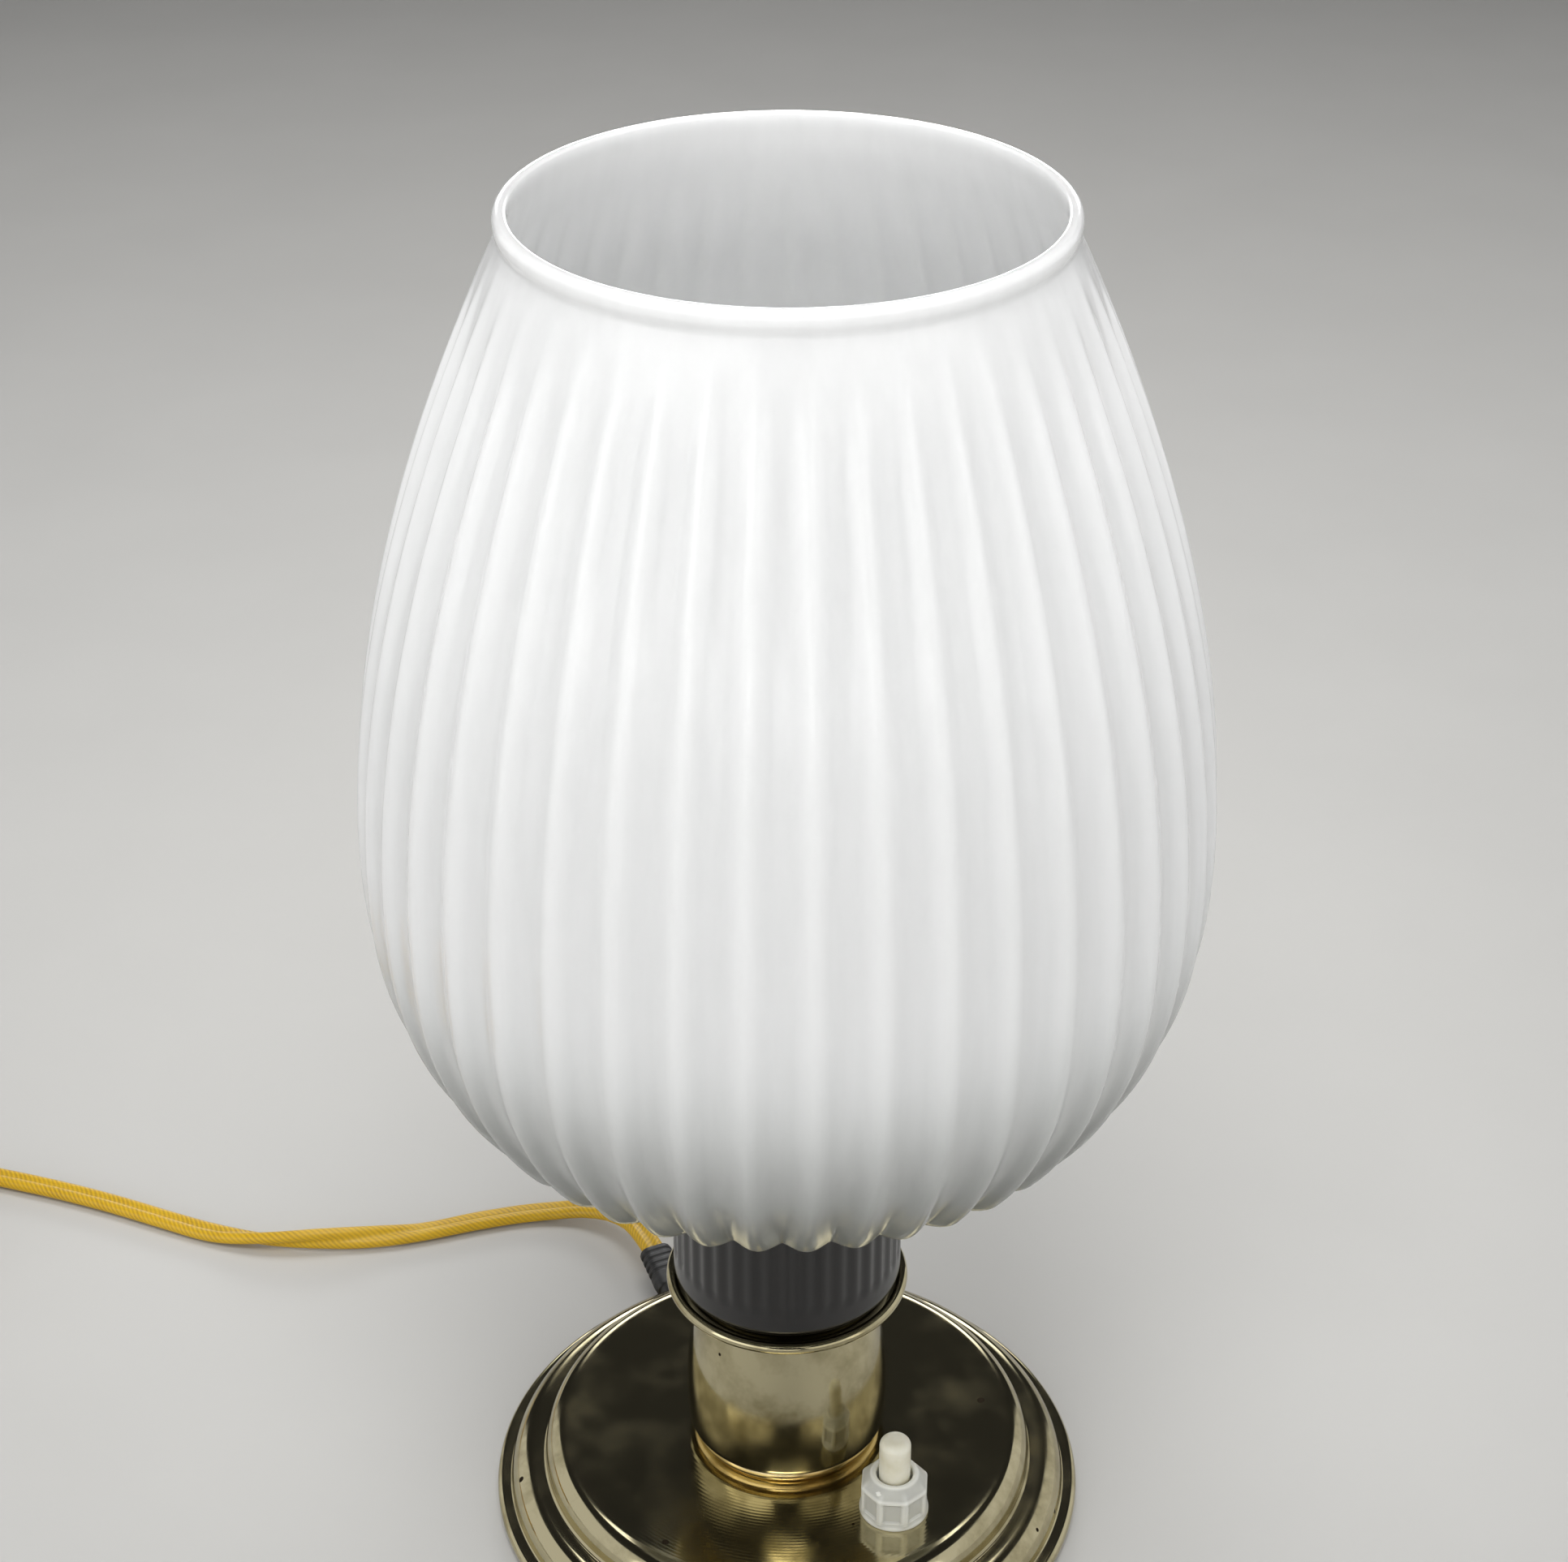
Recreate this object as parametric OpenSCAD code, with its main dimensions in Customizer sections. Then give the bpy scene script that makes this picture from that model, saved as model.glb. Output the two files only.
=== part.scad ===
// Bedside lamp: a ribbed opal glass shade on a stepped round base, with a push-button switch.
// Lengths are in millimetres. The lamp stands on the plane z = 0 and its axis is the z axis.
// The front, with the switch, looks along -y, and the cord leaves the base at the back.

/* [Base] */
// Diameter of the base over its rolled edge
base_d = 120; // [112:1:140]
// Height of the base plate above the table
base_h = 15; // [14:0.5:20]
// Thickness of the spun metal sheet
sheet_t = 0.9; // [0.7:0.1:1.1]
// Radius of the rolled edge of the base
hem_r = 1.3; // [1.1:0.1:1.5]
// Radial width of the flange outside the outer step
flange_w = 3; // [2.9:0.1:4]
// Height of the outer step above the flange
outer_step_h = 5.7; // [5.4:0.1:6]
// Radius of the outer step's rounded shoulder
outer_round = 5.2; // [4:0.1:5.4]
// Radial width of the outer step
step_w = 7.3; // [6.5:0.1:8]
// Radius of the inner step's rounded shoulder
inner_round = 4.7; // [3:0.1:5]
// Thickness of the felt under the base
felt_t = 1.2; // [1:0.1:1.5]
// Thickness of the disc that closes the base
disc_t = 1.1; // [0.8:0.1:1.4]
// Diameter of the cast weight in the base
weight_d = 84; // [70:1:86]
// Height of the cast weight
weight_h = 8; // [6:0.5:8]
// Thickness of the weight's web under the plate
weight_web = 2.5; // [2:0.1:3]

/* [Stem] */
// Diameter of the gold ring under the stem
foot_ring_d = 38; // [30:0.5:39]
// Height of the gold ring
foot_ring_h = 3.2; // [2:0.1:5]
// Widest diameter of the stem
stem_d = 40.6; // [36:0.2:44]
// Height of the stem
stem_h = 36.7; // [32:0.1:50]
// Height of the stem's widest place above its lower edge
stem_wide_h = 7.8; // [5:0.1:12]
// Radius of the curve of the stem's side
stem_belly = 85.5; // [75:0.5:140]
// Diameter of the shallow cap on the stem
cap_d = 48; // [46:0.5:54]
// Height of the cap's top above its rolled edge
cap_rise = 1.5; // [1.2:0.1:2.2]
// Radius of the cap's rolled edge
cap_edge_r = 1.1; // [0.9:0.1:1.4]
// Width of the cap's flat top beyond the upper edge of the stem
cap_land = 0.3; // [0.2:0.1:2]
// Outer diameter of the threaded tube through the stem
tube_d = 10; // [9:0.5:11]
// Bore of the threaded tube
tube_bore = 7.2; // [6.6:0.1:7.6]

/* [Shade] */
// Widest diameter of the glass, over its ribs
shade_d = 154; // [140:1:170]
// Height of the glass
shade_h = 181.5; // [160:0.5:210]
// Diameter over the rounded rim
rim_d = 95.2; // [80:0.2:110]
// Height of the rounded rim
rim_h = 4.7; // [3.5:0.1:7]
// Height of the widest place above the bottom of the glass
wide_h = 66; // [55:1:80]
// Diameter over the ribs where the glass turns under
corner_d = 121.6; // [110:0.2:126]
// Height of that turn above the bottom of the glass
corner_h = 15; // [11:0.5:20]
// Diameter of the hole in the bottom of the glass
hole_d = 42; // [41:0.5:44]
// Wall of the glass in the flutes
glass_t = 2.2; // [1.8:0.1:3]
// Thickness of the glass round the hole
seat_t = 3; // [2.5:0.1:4]
// Number of ribs
rib_count = 43; // [36:1:48]
// Depth of the flutes between the ribs
rib_depth = 1.4; // [0.6:0.1:2]

/* [Lampholder and bulb] */
// Diameter of the lampholder's lower cap
holder_d = 45; // [44:0.5:46]
// Height of the lampholder's lower cap
holder_cap_h = 28.2; // [26.6:0.2:30.6]
// Wall of the lampholder's lower cap
holder_wall = 2.5; // [2:0.1:3]
// Diameter of the lampholder's skirt
skirt_d = 38.8; // [37:0.2:39.4]
// Height of the lampholder's skirt above the lower cap
skirt_h = 37; // [35:0.5:40]
// Height of the shade's seat above the foot of the lampholder
seat_h = 38; // [36.6:0.2:40.6]
// Width of the seat flange round the skirt
seat_w = 5.1; // [4.1:0.1:6.6]
// Thickness of each gasket
gasket_t = 1.2; // [0.8:0.1:1.6]
// Widest diameter of the bulb
bulb_d = 60; // [50:1:66]
// Height of the bulb with its cap
bulb_h = 106; // [100:1:115]
// Diameter of the bulb's cap
bulb_cap_d = 26.2; // [25.6:0.2:26.6]

/* [Switch] */
// Distance of the switch from the axis of the lamp
switch_radius = 33; // [31:0.5:34]
// Direction of the switch from the axis of the lamp, in degrees
switch_angle = -50; // [-80:1:-20]
// Width of the eight-sided collar across its flats
collar_af = 13.2; // [12.6:0.2:15]
// Height of the collar
collar_h = 9.6; // [9:0.1:12]
// Height of the collar's upright sides
collar_side_h = 6.8; // [5:0.1:7.5]
// Diameter of the threaded neck of the switch
neck_d = 9.8; // [9.4:0.1:10.4]
// Diameter of the push-button
button_d = 6.2; // [5.6:0.1:6.4]
// Height of the button above the collar
button_out = 8.6; // [6:0.1:10]
// Travel of the button
button_travel = 2.8; // [2:0.1:3]
// Diameter of the switch body under the plate
switch_d = 17; // [16:0.5:18]

/* [Cord] */
// Width of the flat twin cord
cord_w = 5.2; // [4.8:0.1:5.4]
// Thickness of the flat twin cord
cord_t = 2.7; // [2.4:0.1:2.8]
// Direction in which the cord leaves the base, in degrees
cord_angle = 115; // [110:1:120]
// Diameter of an inner lead
lead_d = 1.9; // [1.5:0.1:2]

/* [Hidden] */
$fn = 96;
big_fn = 360;
// Gap of a loose fit, of a sliding piece and of a sleeve on a tube
fit = 0.3;
slide_fit = 0.45;
sleeve_fit = 0.1;
over = 1;
up = [0, 0, 1];

// Heights and radii of the base
base_r = base_d / 2;
floor_z = felt_t + disc_t;
flange_z = floor_z + sheet_t;
outer_r = base_r - flange_w;
ledge_z = flange_z + outer_step_h;
inner_r = outer_r - step_w;
groove_round = 0.8;
disc_r = base_r - 2 * hem_r - fit;
weight_top = base_h - sheet_t;
weight_z = weight_top - weight_h;
web_z = weight_top - weight_web;
weight_bevel = 1.5;
recess_r = 13;
tube_r = tube_d / 2;
tube_hole_r = tube_r + sleeve_fit;
washer_r = 11;
washer_t = 0.8;
washer_z = web_z - washer_t;
nut_af = 14;
nut_h = 3;
nut_z = washer_z - nut_h;
tube_end = 0.6;
tube_bottom = nut_z - tube_end;

// Heights and radii of the stem
stem_z = base_h + foot_ring_h;
stem_r = stem_d / 2;
cap_z = stem_z + stem_h;
cap_top = cap_z + sheet_t;
stem_lean = stem_h - stem_wide_h;
stem_top_r = stem_r - stem_belly + sqrt(stem_belly * stem_belly - stem_lean * stem_lean);
cap_flat_r = stem_top_r + cap_land;
cap_edge_c = cap_d / 2 - cap_edge_r;
cap_edge_z = cap_top - cap_rise;
cap_run = cap_edge_c - cap_flat_r;
cap_round = (cap_run * cap_run + cap_rise * cap_rise) / (2 * cap_rise);

// Heights and radii of the lampholder
holder_z = cap_top;
holder_r = holder_d / 2;
holder_round = 2.5;
holder_floor = 3;
holder_entry = 7.6;
holder_boss_r = tube_r + holder_floor;
tube_top = holder_z + holder_entry;
rim_z = holder_z + holder_cap_h;
skirt_r = skirt_d / 2;
seat_r = skirt_r + seat_w;
skirt_top = rim_z + skirt_h;
spigot_h = 8;
spigot_r = holder_r - holder_wall - fit;
spigot_bore = 13.5;
insert_drop = 2;
insert_z = rim_z - insert_drop;
insert_h = 14;
insert_r = 15;
insert_step = [2.5, 4];
shell_z = insert_z + insert_h;
shell_r = 14.3;
shell_t = 0.5;
shell_h = 24;
contact_h = 4.6;
contact_z = shell_z + contact_h;
flange_t = 2;
flange_top = holder_z + seat_h;
glass_z = flange_top + gasket_t;
clamp_z = glass_z + seat_t;
ring_z = clamp_z + gasket_t;
ring_h = 7.8;
ring_flange_t = 2.4;
ring_lip = 2;
ring_wall = 3;
ring_bore = skirt_r + fit;
terminal_x = 8;
terminal_w = 6;
terminal_h = 8;
terminal_z = insert_z - terminal_h;

// Heights and radii of the bulb
tip_h = 1.4;
tip_r = 4.6;
insulator_h = 3;
insulator_edge = 0.6;
insulator_inset = 1.6;
bulb_cap_z = contact_z + tip_h + insulator_h;
bulb_cap_h = 22;
bulb_cap_top = bulb_cap_z + bulb_cap_h;
bulb_cap_t = 0.4;
bulb_cap_r = bulb_cap_d / 2;
bulb_r = bulb_d / 2;
bulb_neck_step = 0.5;
bulb_neck_r = bulb_cap_r + bulb_neck_step;
bulb_wall = 0.8;
bulb_plug_h = 8;
bulb_plug_z = bulb_cap_top - bulb_plug_h;
exhaust_r = 2;
bulb_c = contact_z + bulb_h - bulb_r;
bulb_turn = 35;
bulb_flare = (bulb_r * cos(bulb_turn) - bulb_neck_r) / (1 - cos(bulb_turn));
bulb_flare_r = bulb_neck_r + bulb_flare;
bulb_flare_z = bulb_c - (bulb_r + bulb_flare) * sin(bulb_turn);

// Meridian of the glass: two power curves meet at the widest place
shade_r = shade_d / 2;
rim_r = rim_d / 2;
rim_proud = 0.4;
rim_t = 2.4;
glass_top = glass_z + shade_h;
neck_z = glass_top - rim_h;
neck_r = rim_r - rim_proud;
wide_z = glass_z + wide_h;
corner_r = corner_d / 2;
corner_z = glass_z + corner_h;
crown_power = 1.84;
foot_power = 2.54;
flat_margin = 1.5;
flat_r = seat_r + flat_margin;
turn_drop = 5;
inner_turn = [-1.3, 1];
turn_slope = foot_power * (shade_r - corner_r) / (wide_h - corner_h);
turn_point = [corner_r - turn_slope * turn_drop, corner_z - turn_drop];
rib_fade_h = 24;
rib_phase = 273.3;

// Heights and radii of the switch
switch_pos = switch_radius * [cos(switch_angle), sin(switch_angle)];
switch_r = switch_d / 2;
switch_bottom = floor_z + lead_d;
neck_r_switch = neck_d / 2;
collar_roof = 2.1;
neck_h = collar_h - collar_roof;
button_r = button_d / 2;
button_bore = button_r + slide_fit;
button_dome = 0.55 * button_r;
spring_wire = 0.5;
spring_r = 4.4;
spring_turns = 3;
spring_solid = (spring_turns + 1) * spring_wire;
chamber_r = 6.3;
chamber_roof = 1.6;
chamber_top = weight_top - chamber_roof;
button_flange_r = chamber_r - slide_fit;
button_flange_t = 1.4;
button_flange_z = chamber_top - fit - button_flange_t;
chamber_z = button_flange_z - button_travel - spring_solid;
button_top = base_h + collar_h + button_out;
mouth_r = button_bore + sleeve_fit / 2;
collar_lip = 1.1;
collar_top_r = mouth_r + collar_lip;
switch_room = 2;
spring_z = chamber_z + spring_wire / 2;
spring_h = button_flange_z - chamber_z - spring_wire;
tab_l = 5;
tab_w = 4;
tab_t = 0.8;
tab_spread = 40;

// The bush where the cord leaves the base
bush_w = 8.4;
bush_t = 4.1;
bush_z = flange_z + fit + bush_t / 2;
bush_tail_l = 4.8;
bush_in = outer_r - outer_round - bush_tail_l;
bush_lip_w = 10;
bush_lip_t = 1;
bush_lip_at = bush_in + 3;
bush_proud = 0.6;
bush_out = outer_r + bush_proud;
bush_nose_l = 14;
bush_end = outer_r + bush_nose_l;
bush_shoulder = [9.6, 4.4];
bush_tip = [7.2, 3.8];
bush_shoulder_l = 3;
bush_dir = [cos(cord_angle), sin(cord_angle)];
bush_side = [-sin(cord_angle), cos(cord_angle)];
nose_z = bush_z - bush_t / 2 + bush_shoulder[1] / 2;

// Route of the free cord, chosen by hand, with the turn of its flat side at each point
cord_start = bush_end * bush_dir;
cord_lead_out = (bush_end + cord_w) * bush_dir;
cord_route = [
    [-35.5, 75, 5.2], [-40.5, 79.8, 4.2], [-47, 82.6, 3], [-54, 83.2, 2], [-62, 82.4, 1.6],
    [-72, 79.8, 1.6], [-84, 76, 1.6], [-96, 73.2, 2.4], [-108, 72, 2.9], [-120, 72.6, 2.4],
    [-132, 75.6, 1.6], [-144, 80.4, 1.6], [-156, 85.6, 1.6], [-168, 90.2, 1.6], [-180, 94.2, 1.6],
    [-192, 97.8, 1.6], [-204, 101, 1.9], [-216, 103.2, 2.7], [-226, 104, 3.5]
];
cord_rolls = [0, 0, 0, 0, 0, 0, 0, 45, 90, 135, 180, 180, 180, 180, 180, 180, 200, 235, 260];

// The coil of the length that is put away, in two layers of loops
coil_c = [-236, 65];
coil_in = 19.8;
coil_pitch = 4.8;
coil_turns = 4;
coil_back = 3.75;
coil_climb_turns = 0.5;
coil_rings = 24;
coil_out = coil_in + coil_turns * coil_pitch;
tie_t = 0.8;
tie_w = 4;
coil_z = tie_t + fit + cord_w / 2;
coil_space = 0.5;
coil_layer = cord_w + coil_space;
coil_total = coil_turns + coil_climb_turns + coil_back;
tie_angle = 300;
plug_angle = -105;
plug_dir = [cos(plug_angle), sin(plug_angle)];
plug_z = 7.1;
tail_route = [[-274.2, 61, 9.4], [-276.3, 53, 9.2], [-279, 45, 8.2], [-281, 37, 7.1]];
tail_l = 8;
plug_at = [tail_route[3][0], tail_route[3][1]] + tail_l * plug_dir;
plug_l = 36;
plug_w = 35;
plug_h = 13.8;
plug_neck = [10, 10];
plug_cheek = 1.7;
plug_face_l = 10;
pin_d = 4;
pin_l = 19;
pin_gap = 19;

// Colours
brass = [0.62, 0.56, 0.36];
gold = [0.86, 0.68, 0.3];
opal = [0.94, 0.95, 0.94];
milk = [0.9, 0.9, 0.86];
steel = [0.6, 0.6, 0.62];
bakelite = [0.07, 0.06, 0.06];

// Small helpers for vectors, arcs and swept tubes
function unit(v) = v / norm(v);
function flat3(p, z) = [p[0], p[1], z];
function mix(a, b, t) = a + (b - a) * t;
function clamp01(t) = min(1, max(0, t));
function smooth(t) = let (c = clamp01(t)) c * c * (3 - 2 * c);
function arc(c, r, from, to, n) =
    [for (i = [0:n]) let (a = mix(from, to, i / n)) [c[0] + r * cos(a), c[1] + r * sin(a)]];
function bezier(a, b, c, t) = (1 - t) * (1 - t) * a + 2 * t * (1 - t) * b + t * t * c;
function tangents(p) =
    [for (i = [0:len(p) - 1]) unit(p[min(i + 1, len(p) - 1)] - p[max(i - 1, 0)])];
function level_sides(t) = [for (v = t) unit(cross(v, up))];
function carry(e, v) = unit(e - (e * v) * v);
function carried_sides(t, e0) =
    [for (i = 0, e = carry(e0, t[0]); i < len(t); i = i + 1, e = carry(e, t[min(i, len(t) - 1)])) e];
function ring_points(p, v, s, roll, size, n, shift, grow) =
    let (u = cross(s, v), e1 = s * cos(roll) + u * sin(roll), e2 = u * cos(roll) - s * sin(roll))
    [for (k = [0:n - 1])
        let (a = 360 * (k + shift) / n)
        p + e1 * (grow * size[0] / 2 * cos(a)) + e2 * (grow * size[1] / 2 * sin(a))];

// A tube along the points p, with one ring of n corners at each point
module tube(p, sides, rolls, size, n, shift = 0, grow = 1) {
    t = tangents(p);
    corners = [for (i = [0:len(p) - 1])
        each ring_points(p[i], t[i], sides[i], rolls[i], size, n, shift, grow)];
    last = (len(p) - 1) * n;
    walls = [for (i = [0:len(p) - 2], k = [0:n - 1])
        let (a = i * n + k, b = i * n + (k + 1) % n)
        each [[a, b, b + n], [a, b + n, a + n]]];
    caps = [for (k = [1:n - 2]) each [[0, k + 1, k], [last, last + k, last + k + 1]]];
    polyhedron(corners, concat(walls, caps), convexity = 10);
}

// A flat shape with half-round ends, w wide and h high
module stadium(w, h) {
    square([w - h, h], center = true);
    for (side = [-1, 1]) {
        translate([side * (w - h) / 2, 0]) circle(h / 2);
    }
}

// A shape drawn across the cord's way, pushed out of the base from one radius to another
module along_bush(from, to) {
    rotate([0, 0, cord_angle]) translate([from, 0, bush_z]) rotate([90, 0, 90])
        linear_extrude(to - from) children();
}

// Half of the base's section, drawn in by the thickness of the sheet for its inner side
module base_section(inset) {
    square([inner_r - inner_round, base_h - inset]);
    square([inner_r - inset, base_h - inner_round]);
    translate([inner_r - inner_round, base_h - inner_round]) circle(inner_round - inset);
    square([outer_r - outer_round, ledge_z - inset]);
    square([outer_r - inset, ledge_z - outer_round]);
    translate([outer_r - outer_round, ledge_z - outer_round]) circle(outer_round - inset);
}

module groove_fillet() {
    translate([inner_r, ledge_z]) difference() {
        translate([-groove_round, -groove_round]) square(2 * groove_round);
        translate([groove_round, groove_round]) circle(groove_round);
    }
}

// Stepped base, spun from sheet, with a rolled edge
module base_shell() {
    color(brass) difference() {
        rotate_extrude() difference() {
            union() {
                intersection() {
                    base_section(0);
                    translate([0, floor_z]) square([base_r, base_h]);
                }
                groove_fillet();
                translate([0, floor_z]) square([base_r - hem_r, sheet_t]);
                translate([base_r - hem_r, flange_z - hem_r]) circle(hem_r);
            }
            base_section(sheet_t);
            square([tube_hole_r, base_h + over]);
        }
        at_switch() cylinder(r = neck_r_switch + sleeve_fit, h = base_h + over);
        along_bush(inner_r - sheet_t, base_r) stadium(bush_w + 2 * sleeve_fit, bush_t + 2 * sleeve_fit);
    }
}

// Cast weight under the plate, open for the nut and for the switch
module base_weight() {
    weight_r = weight_d / 2;
    color([0.2, 0.2, 0.21]) difference() {
        rotate_extrude() polygon([
            [recess_r, weight_z], [weight_r - weight_bevel, weight_z], [weight_r, weight_z + weight_bevel],
            [weight_r, weight_top], [tube_hole_r, weight_top], [tube_hole_r, web_z], [recess_r, web_z]
        ]);
        at_switch() cylinder(r = switch_r + switch_room, h = base_h + over);
    }
}

module bottom_disc() {
    color([0.45, 0.36, 0.26]) translate([0, 0, felt_t]) cylinder(r = disc_r, h = disc_t);
}

module felt_pad() {
    color([0.13, 0.3, 0.2]) cylinder(r = disc_r, h = felt_t);
}

// Half-round ring between the plate and the stem
module foot_ring() {
    color(gold) rotate_extrude() translate([0, base_h]) {
        translate([tube_hole_r, 0]) square([foot_ring_d / 2 - foot_ring_h / 2 - tube_hole_r, foot_ring_h]);
        translate([foot_ring_d / 2 - foot_ring_h / 2, foot_ring_h / 2]) circle(foot_ring_h / 2);
    }
}

module stem_section(inset) {
    intersection() {
        translate([stem_r - stem_belly, stem_z + stem_wide_h]) circle(stem_belly - inset, $fn = big_fn);
        translate([0, stem_z + inset]) square([stem_r, stem_h - 2 * inset]);
    }
}

// Rounded hollow stem
module stem_drum() {
    color(brass) rotate_extrude() difference() {
        stem_section(0);
        stem_section(sheet_t);
        square([tube_hole_r, cap_z + over]);
    }
}

// Shallow cap with a rolled edge on top of the stem
module stem_cap() {
    color(brass) rotate_extrude() {
        translate([tube_hole_r, cap_z]) square([cap_flat_r - tube_hole_r, sheet_t]);
        translate([cap_edge_c, cap_edge_z]) circle(cap_edge_r);
        intersection() {
            translate([cap_flat_r, cap_top - cap_round]) difference() {
                circle(cap_round, $fn = big_fn);
                circle(cap_round - sheet_t, $fn = big_fn);
            }
            translate([cap_flat_r, cap_edge_z - sheet_t]) square([cap_run, cap_rise + sheet_t]);
        }
    }
}

module threaded_tube() {
    color(steel) translate([0, 0, tube_bottom]) difference() {
        cylinder(r = tube_r, h = tube_top - tube_bottom);
        translate([0, 0, -over]) cylinder(r = tube_bore / 2, h = tube_top - tube_bottom + 2 * over);
    }
}

module tube_washer() {
    color(steel) translate([0, 0, washer_z]) difference() {
        cylinder(r = washer_r, h = washer_t);
        translate([0, 0, -over]) cylinder(r = tube_hole_r, h = washer_t + 2 * over);
    }
}

module tube_nut() {
    color(steel) translate([0, 0, nut_z]) difference() {
        cylinder(r = nut_af / 2 / cos(30), h = nut_h, $fn = 6);
        translate([0, 0, -over]) cylinder(r = tube_r + sleeve_fit / 2, h = nut_h + 2 * over);
    }
}

// Half of a cup with a rounded foot
module cup_section(r, z, round, top) {
    translate([0, z]) square([r - round, top - z]);
    translate([0, z + round]) square([r, top - z - round]);
    translate([r - round, z + round]) circle(round);
}

// Lower cap of the lampholder, with the boss that screws on the tube
module holder_cap() {
    color(bakelite) rotate_extrude() difference() {
        cup_section(holder_r, holder_z, holder_round, rim_z);
        difference() {
            cup_section(holder_r - holder_wall, holder_z + holder_floor, holder_round / 2, rim_z + over);
            square([holder_boss_r, tube_top]);
        }
        square([tube_r + sleeve_fit / 2, tube_top + over]);
    }
}

// Lampholder's skirt, with the flange that carries the shade
module holder_body() {
    color(bakelite) rotate_extrude() difference() {
        union() {
            translate([0, rim_z - spigot_h]) square([spigot_r, spigot_h]);
            translate([0, rim_z]) square([skirt_r, skirt_h]);
            translate([0, flange_top - flange_t]) square([seat_r, flange_t]);
        }
        translate([0, rim_z - spigot_h - over]) square([spigot_bore, spigot_h + skirt_h]);
        translate([0, insert_z]) square([insert_r + sleeve_fit, skirt_top - insert_z + over]);
    }
}

// Porcelain insert with a raised middle
module holder_insert() {
    color([0.88, 0.86, 0.8]) rotate_extrude() {
        translate([0, insert_z]) square([insert_r, insert_h - insert_step[1]]);
        translate([0, insert_z]) square([insert_r - insert_step[0], insert_h]);
    }
}

module holder_terminals() {
    color(gold) for (side = [-1, 1]) {
        translate([side * terminal_x - terminal_w / 2, -terminal_w / 2, terminal_z])
            cube([terminal_w, terminal_w, terminal_h]);
    }
}

module screw_shell() {
    color(gold) rotate_extrude() {
        translate([shell_r - shell_t, shell_z]) square([shell_t, shell_h]);
        translate([shell_r / 2, shell_z]) square([shell_r / 2, shell_t]);
    }
}

module centre_contact() {
    color(gold) translate([0, 0, shell_z]) {
        cylinder(r = tip_r / 2, h = contact_h);
        translate([0, 0, contact_h - tip_h]) cylinder(r = tip_r, h = tip_h);
    }
}

module gasket(z) {
    translate([0, 0, z]) difference() {
        cylinder(r = seat_r, h = gasket_t);
        translate([0, 0, -over]) cylinder(r = ring_bore, h = gasket_t + 2 * over);
    }
}

module gasket_lower() {
    color([0.8, 0.78, 0.7]) gasket(flange_top);
}

module gasket_upper() {
    color([0.8, 0.78, 0.7]) gasket(clamp_z);
}

// Ring that clamps the glass on the lampholder
module shade_ring() {
    color(bakelite) rotate_extrude() {
        translate([ring_bore, ring_z]) square([seat_r + ring_lip - ring_bore, ring_flange_t]);
        translate([ring_bore, ring_z]) square([ring_wall, ring_h]);
    }
}

// Radius over the ribs at a height, how far the ribs stand out there, and a flute's section
function meridian(z) = z > wide_z
    ? shade_r - (shade_r - neck_r) * pow((z - wide_z) / (neck_z - wide_z), crown_power)
    : shade_r - (shade_r - corner_r) * pow((wide_z - z) / (wide_z - corner_z), foot_power);
function rib_rise(z) = rib_depth * smooth((neck_z - z) / rib_fade_h);
function flute(k) = [0, 0.64, 1, 0.64][k % 4];

// Profile points of the glass, each with its rib height: outside from the hole up to the neck
under_steps = [0, 0.35, 0.6, 0.78, 0.9];
side_steps = [0, 0.05, 0.13, 0.23, 0.35, 0.48, 0.6, 0.71, 0.81, 0.89, 0.95, 1];
outside = concat(
    [[hole_d / 2, glass_z, 0]],
    [for (t = under_steps)
        let (p = bezier([flat_r, glass_z], turn_point, [corner_r, corner_z], t))
        [p[0], p[1], rib_depth * t]],
    [for (t = side_steps) let (z = mix(corner_z, neck_z, t)) [meridian(z), z, rib_rise(z)]]
);

// Rim and inside, from the bead down to the hole
inner_corner = [corner_r - glass_t - rib_depth, corner_z];
inner_steps = [0.97, 0.88, 0.76, 0.62, 0.46, 0.3, 0.18, 0.08];
inside = concat(
    [[rim_r, neck_z + rim_h / 4]],
    arc([rim_r - rim_t / 2, glass_top - rim_t / 2], rim_t / 2, 0, 180, 4),
    [for (t = inner_steps)
        let (z = mix(corner_z, neck_z, t))
        [meridian(z) - glass_t - rib_rise(z), z]],
    [for (t = [0, 0.3, 0.65])
        bezier(inner_corner, turn_point + inner_turn * glass_t, [flat_r, clamp_z], t)],
    [[flat_r, clamp_z], [hole_d / 2, clamp_z]]
);
function outward(i) =
    let (d = outside[min(i + 1, len(outside) - 1)] - outside[max(i - 1, 0)])
    unit([d[1], -d[0]]);

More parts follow.
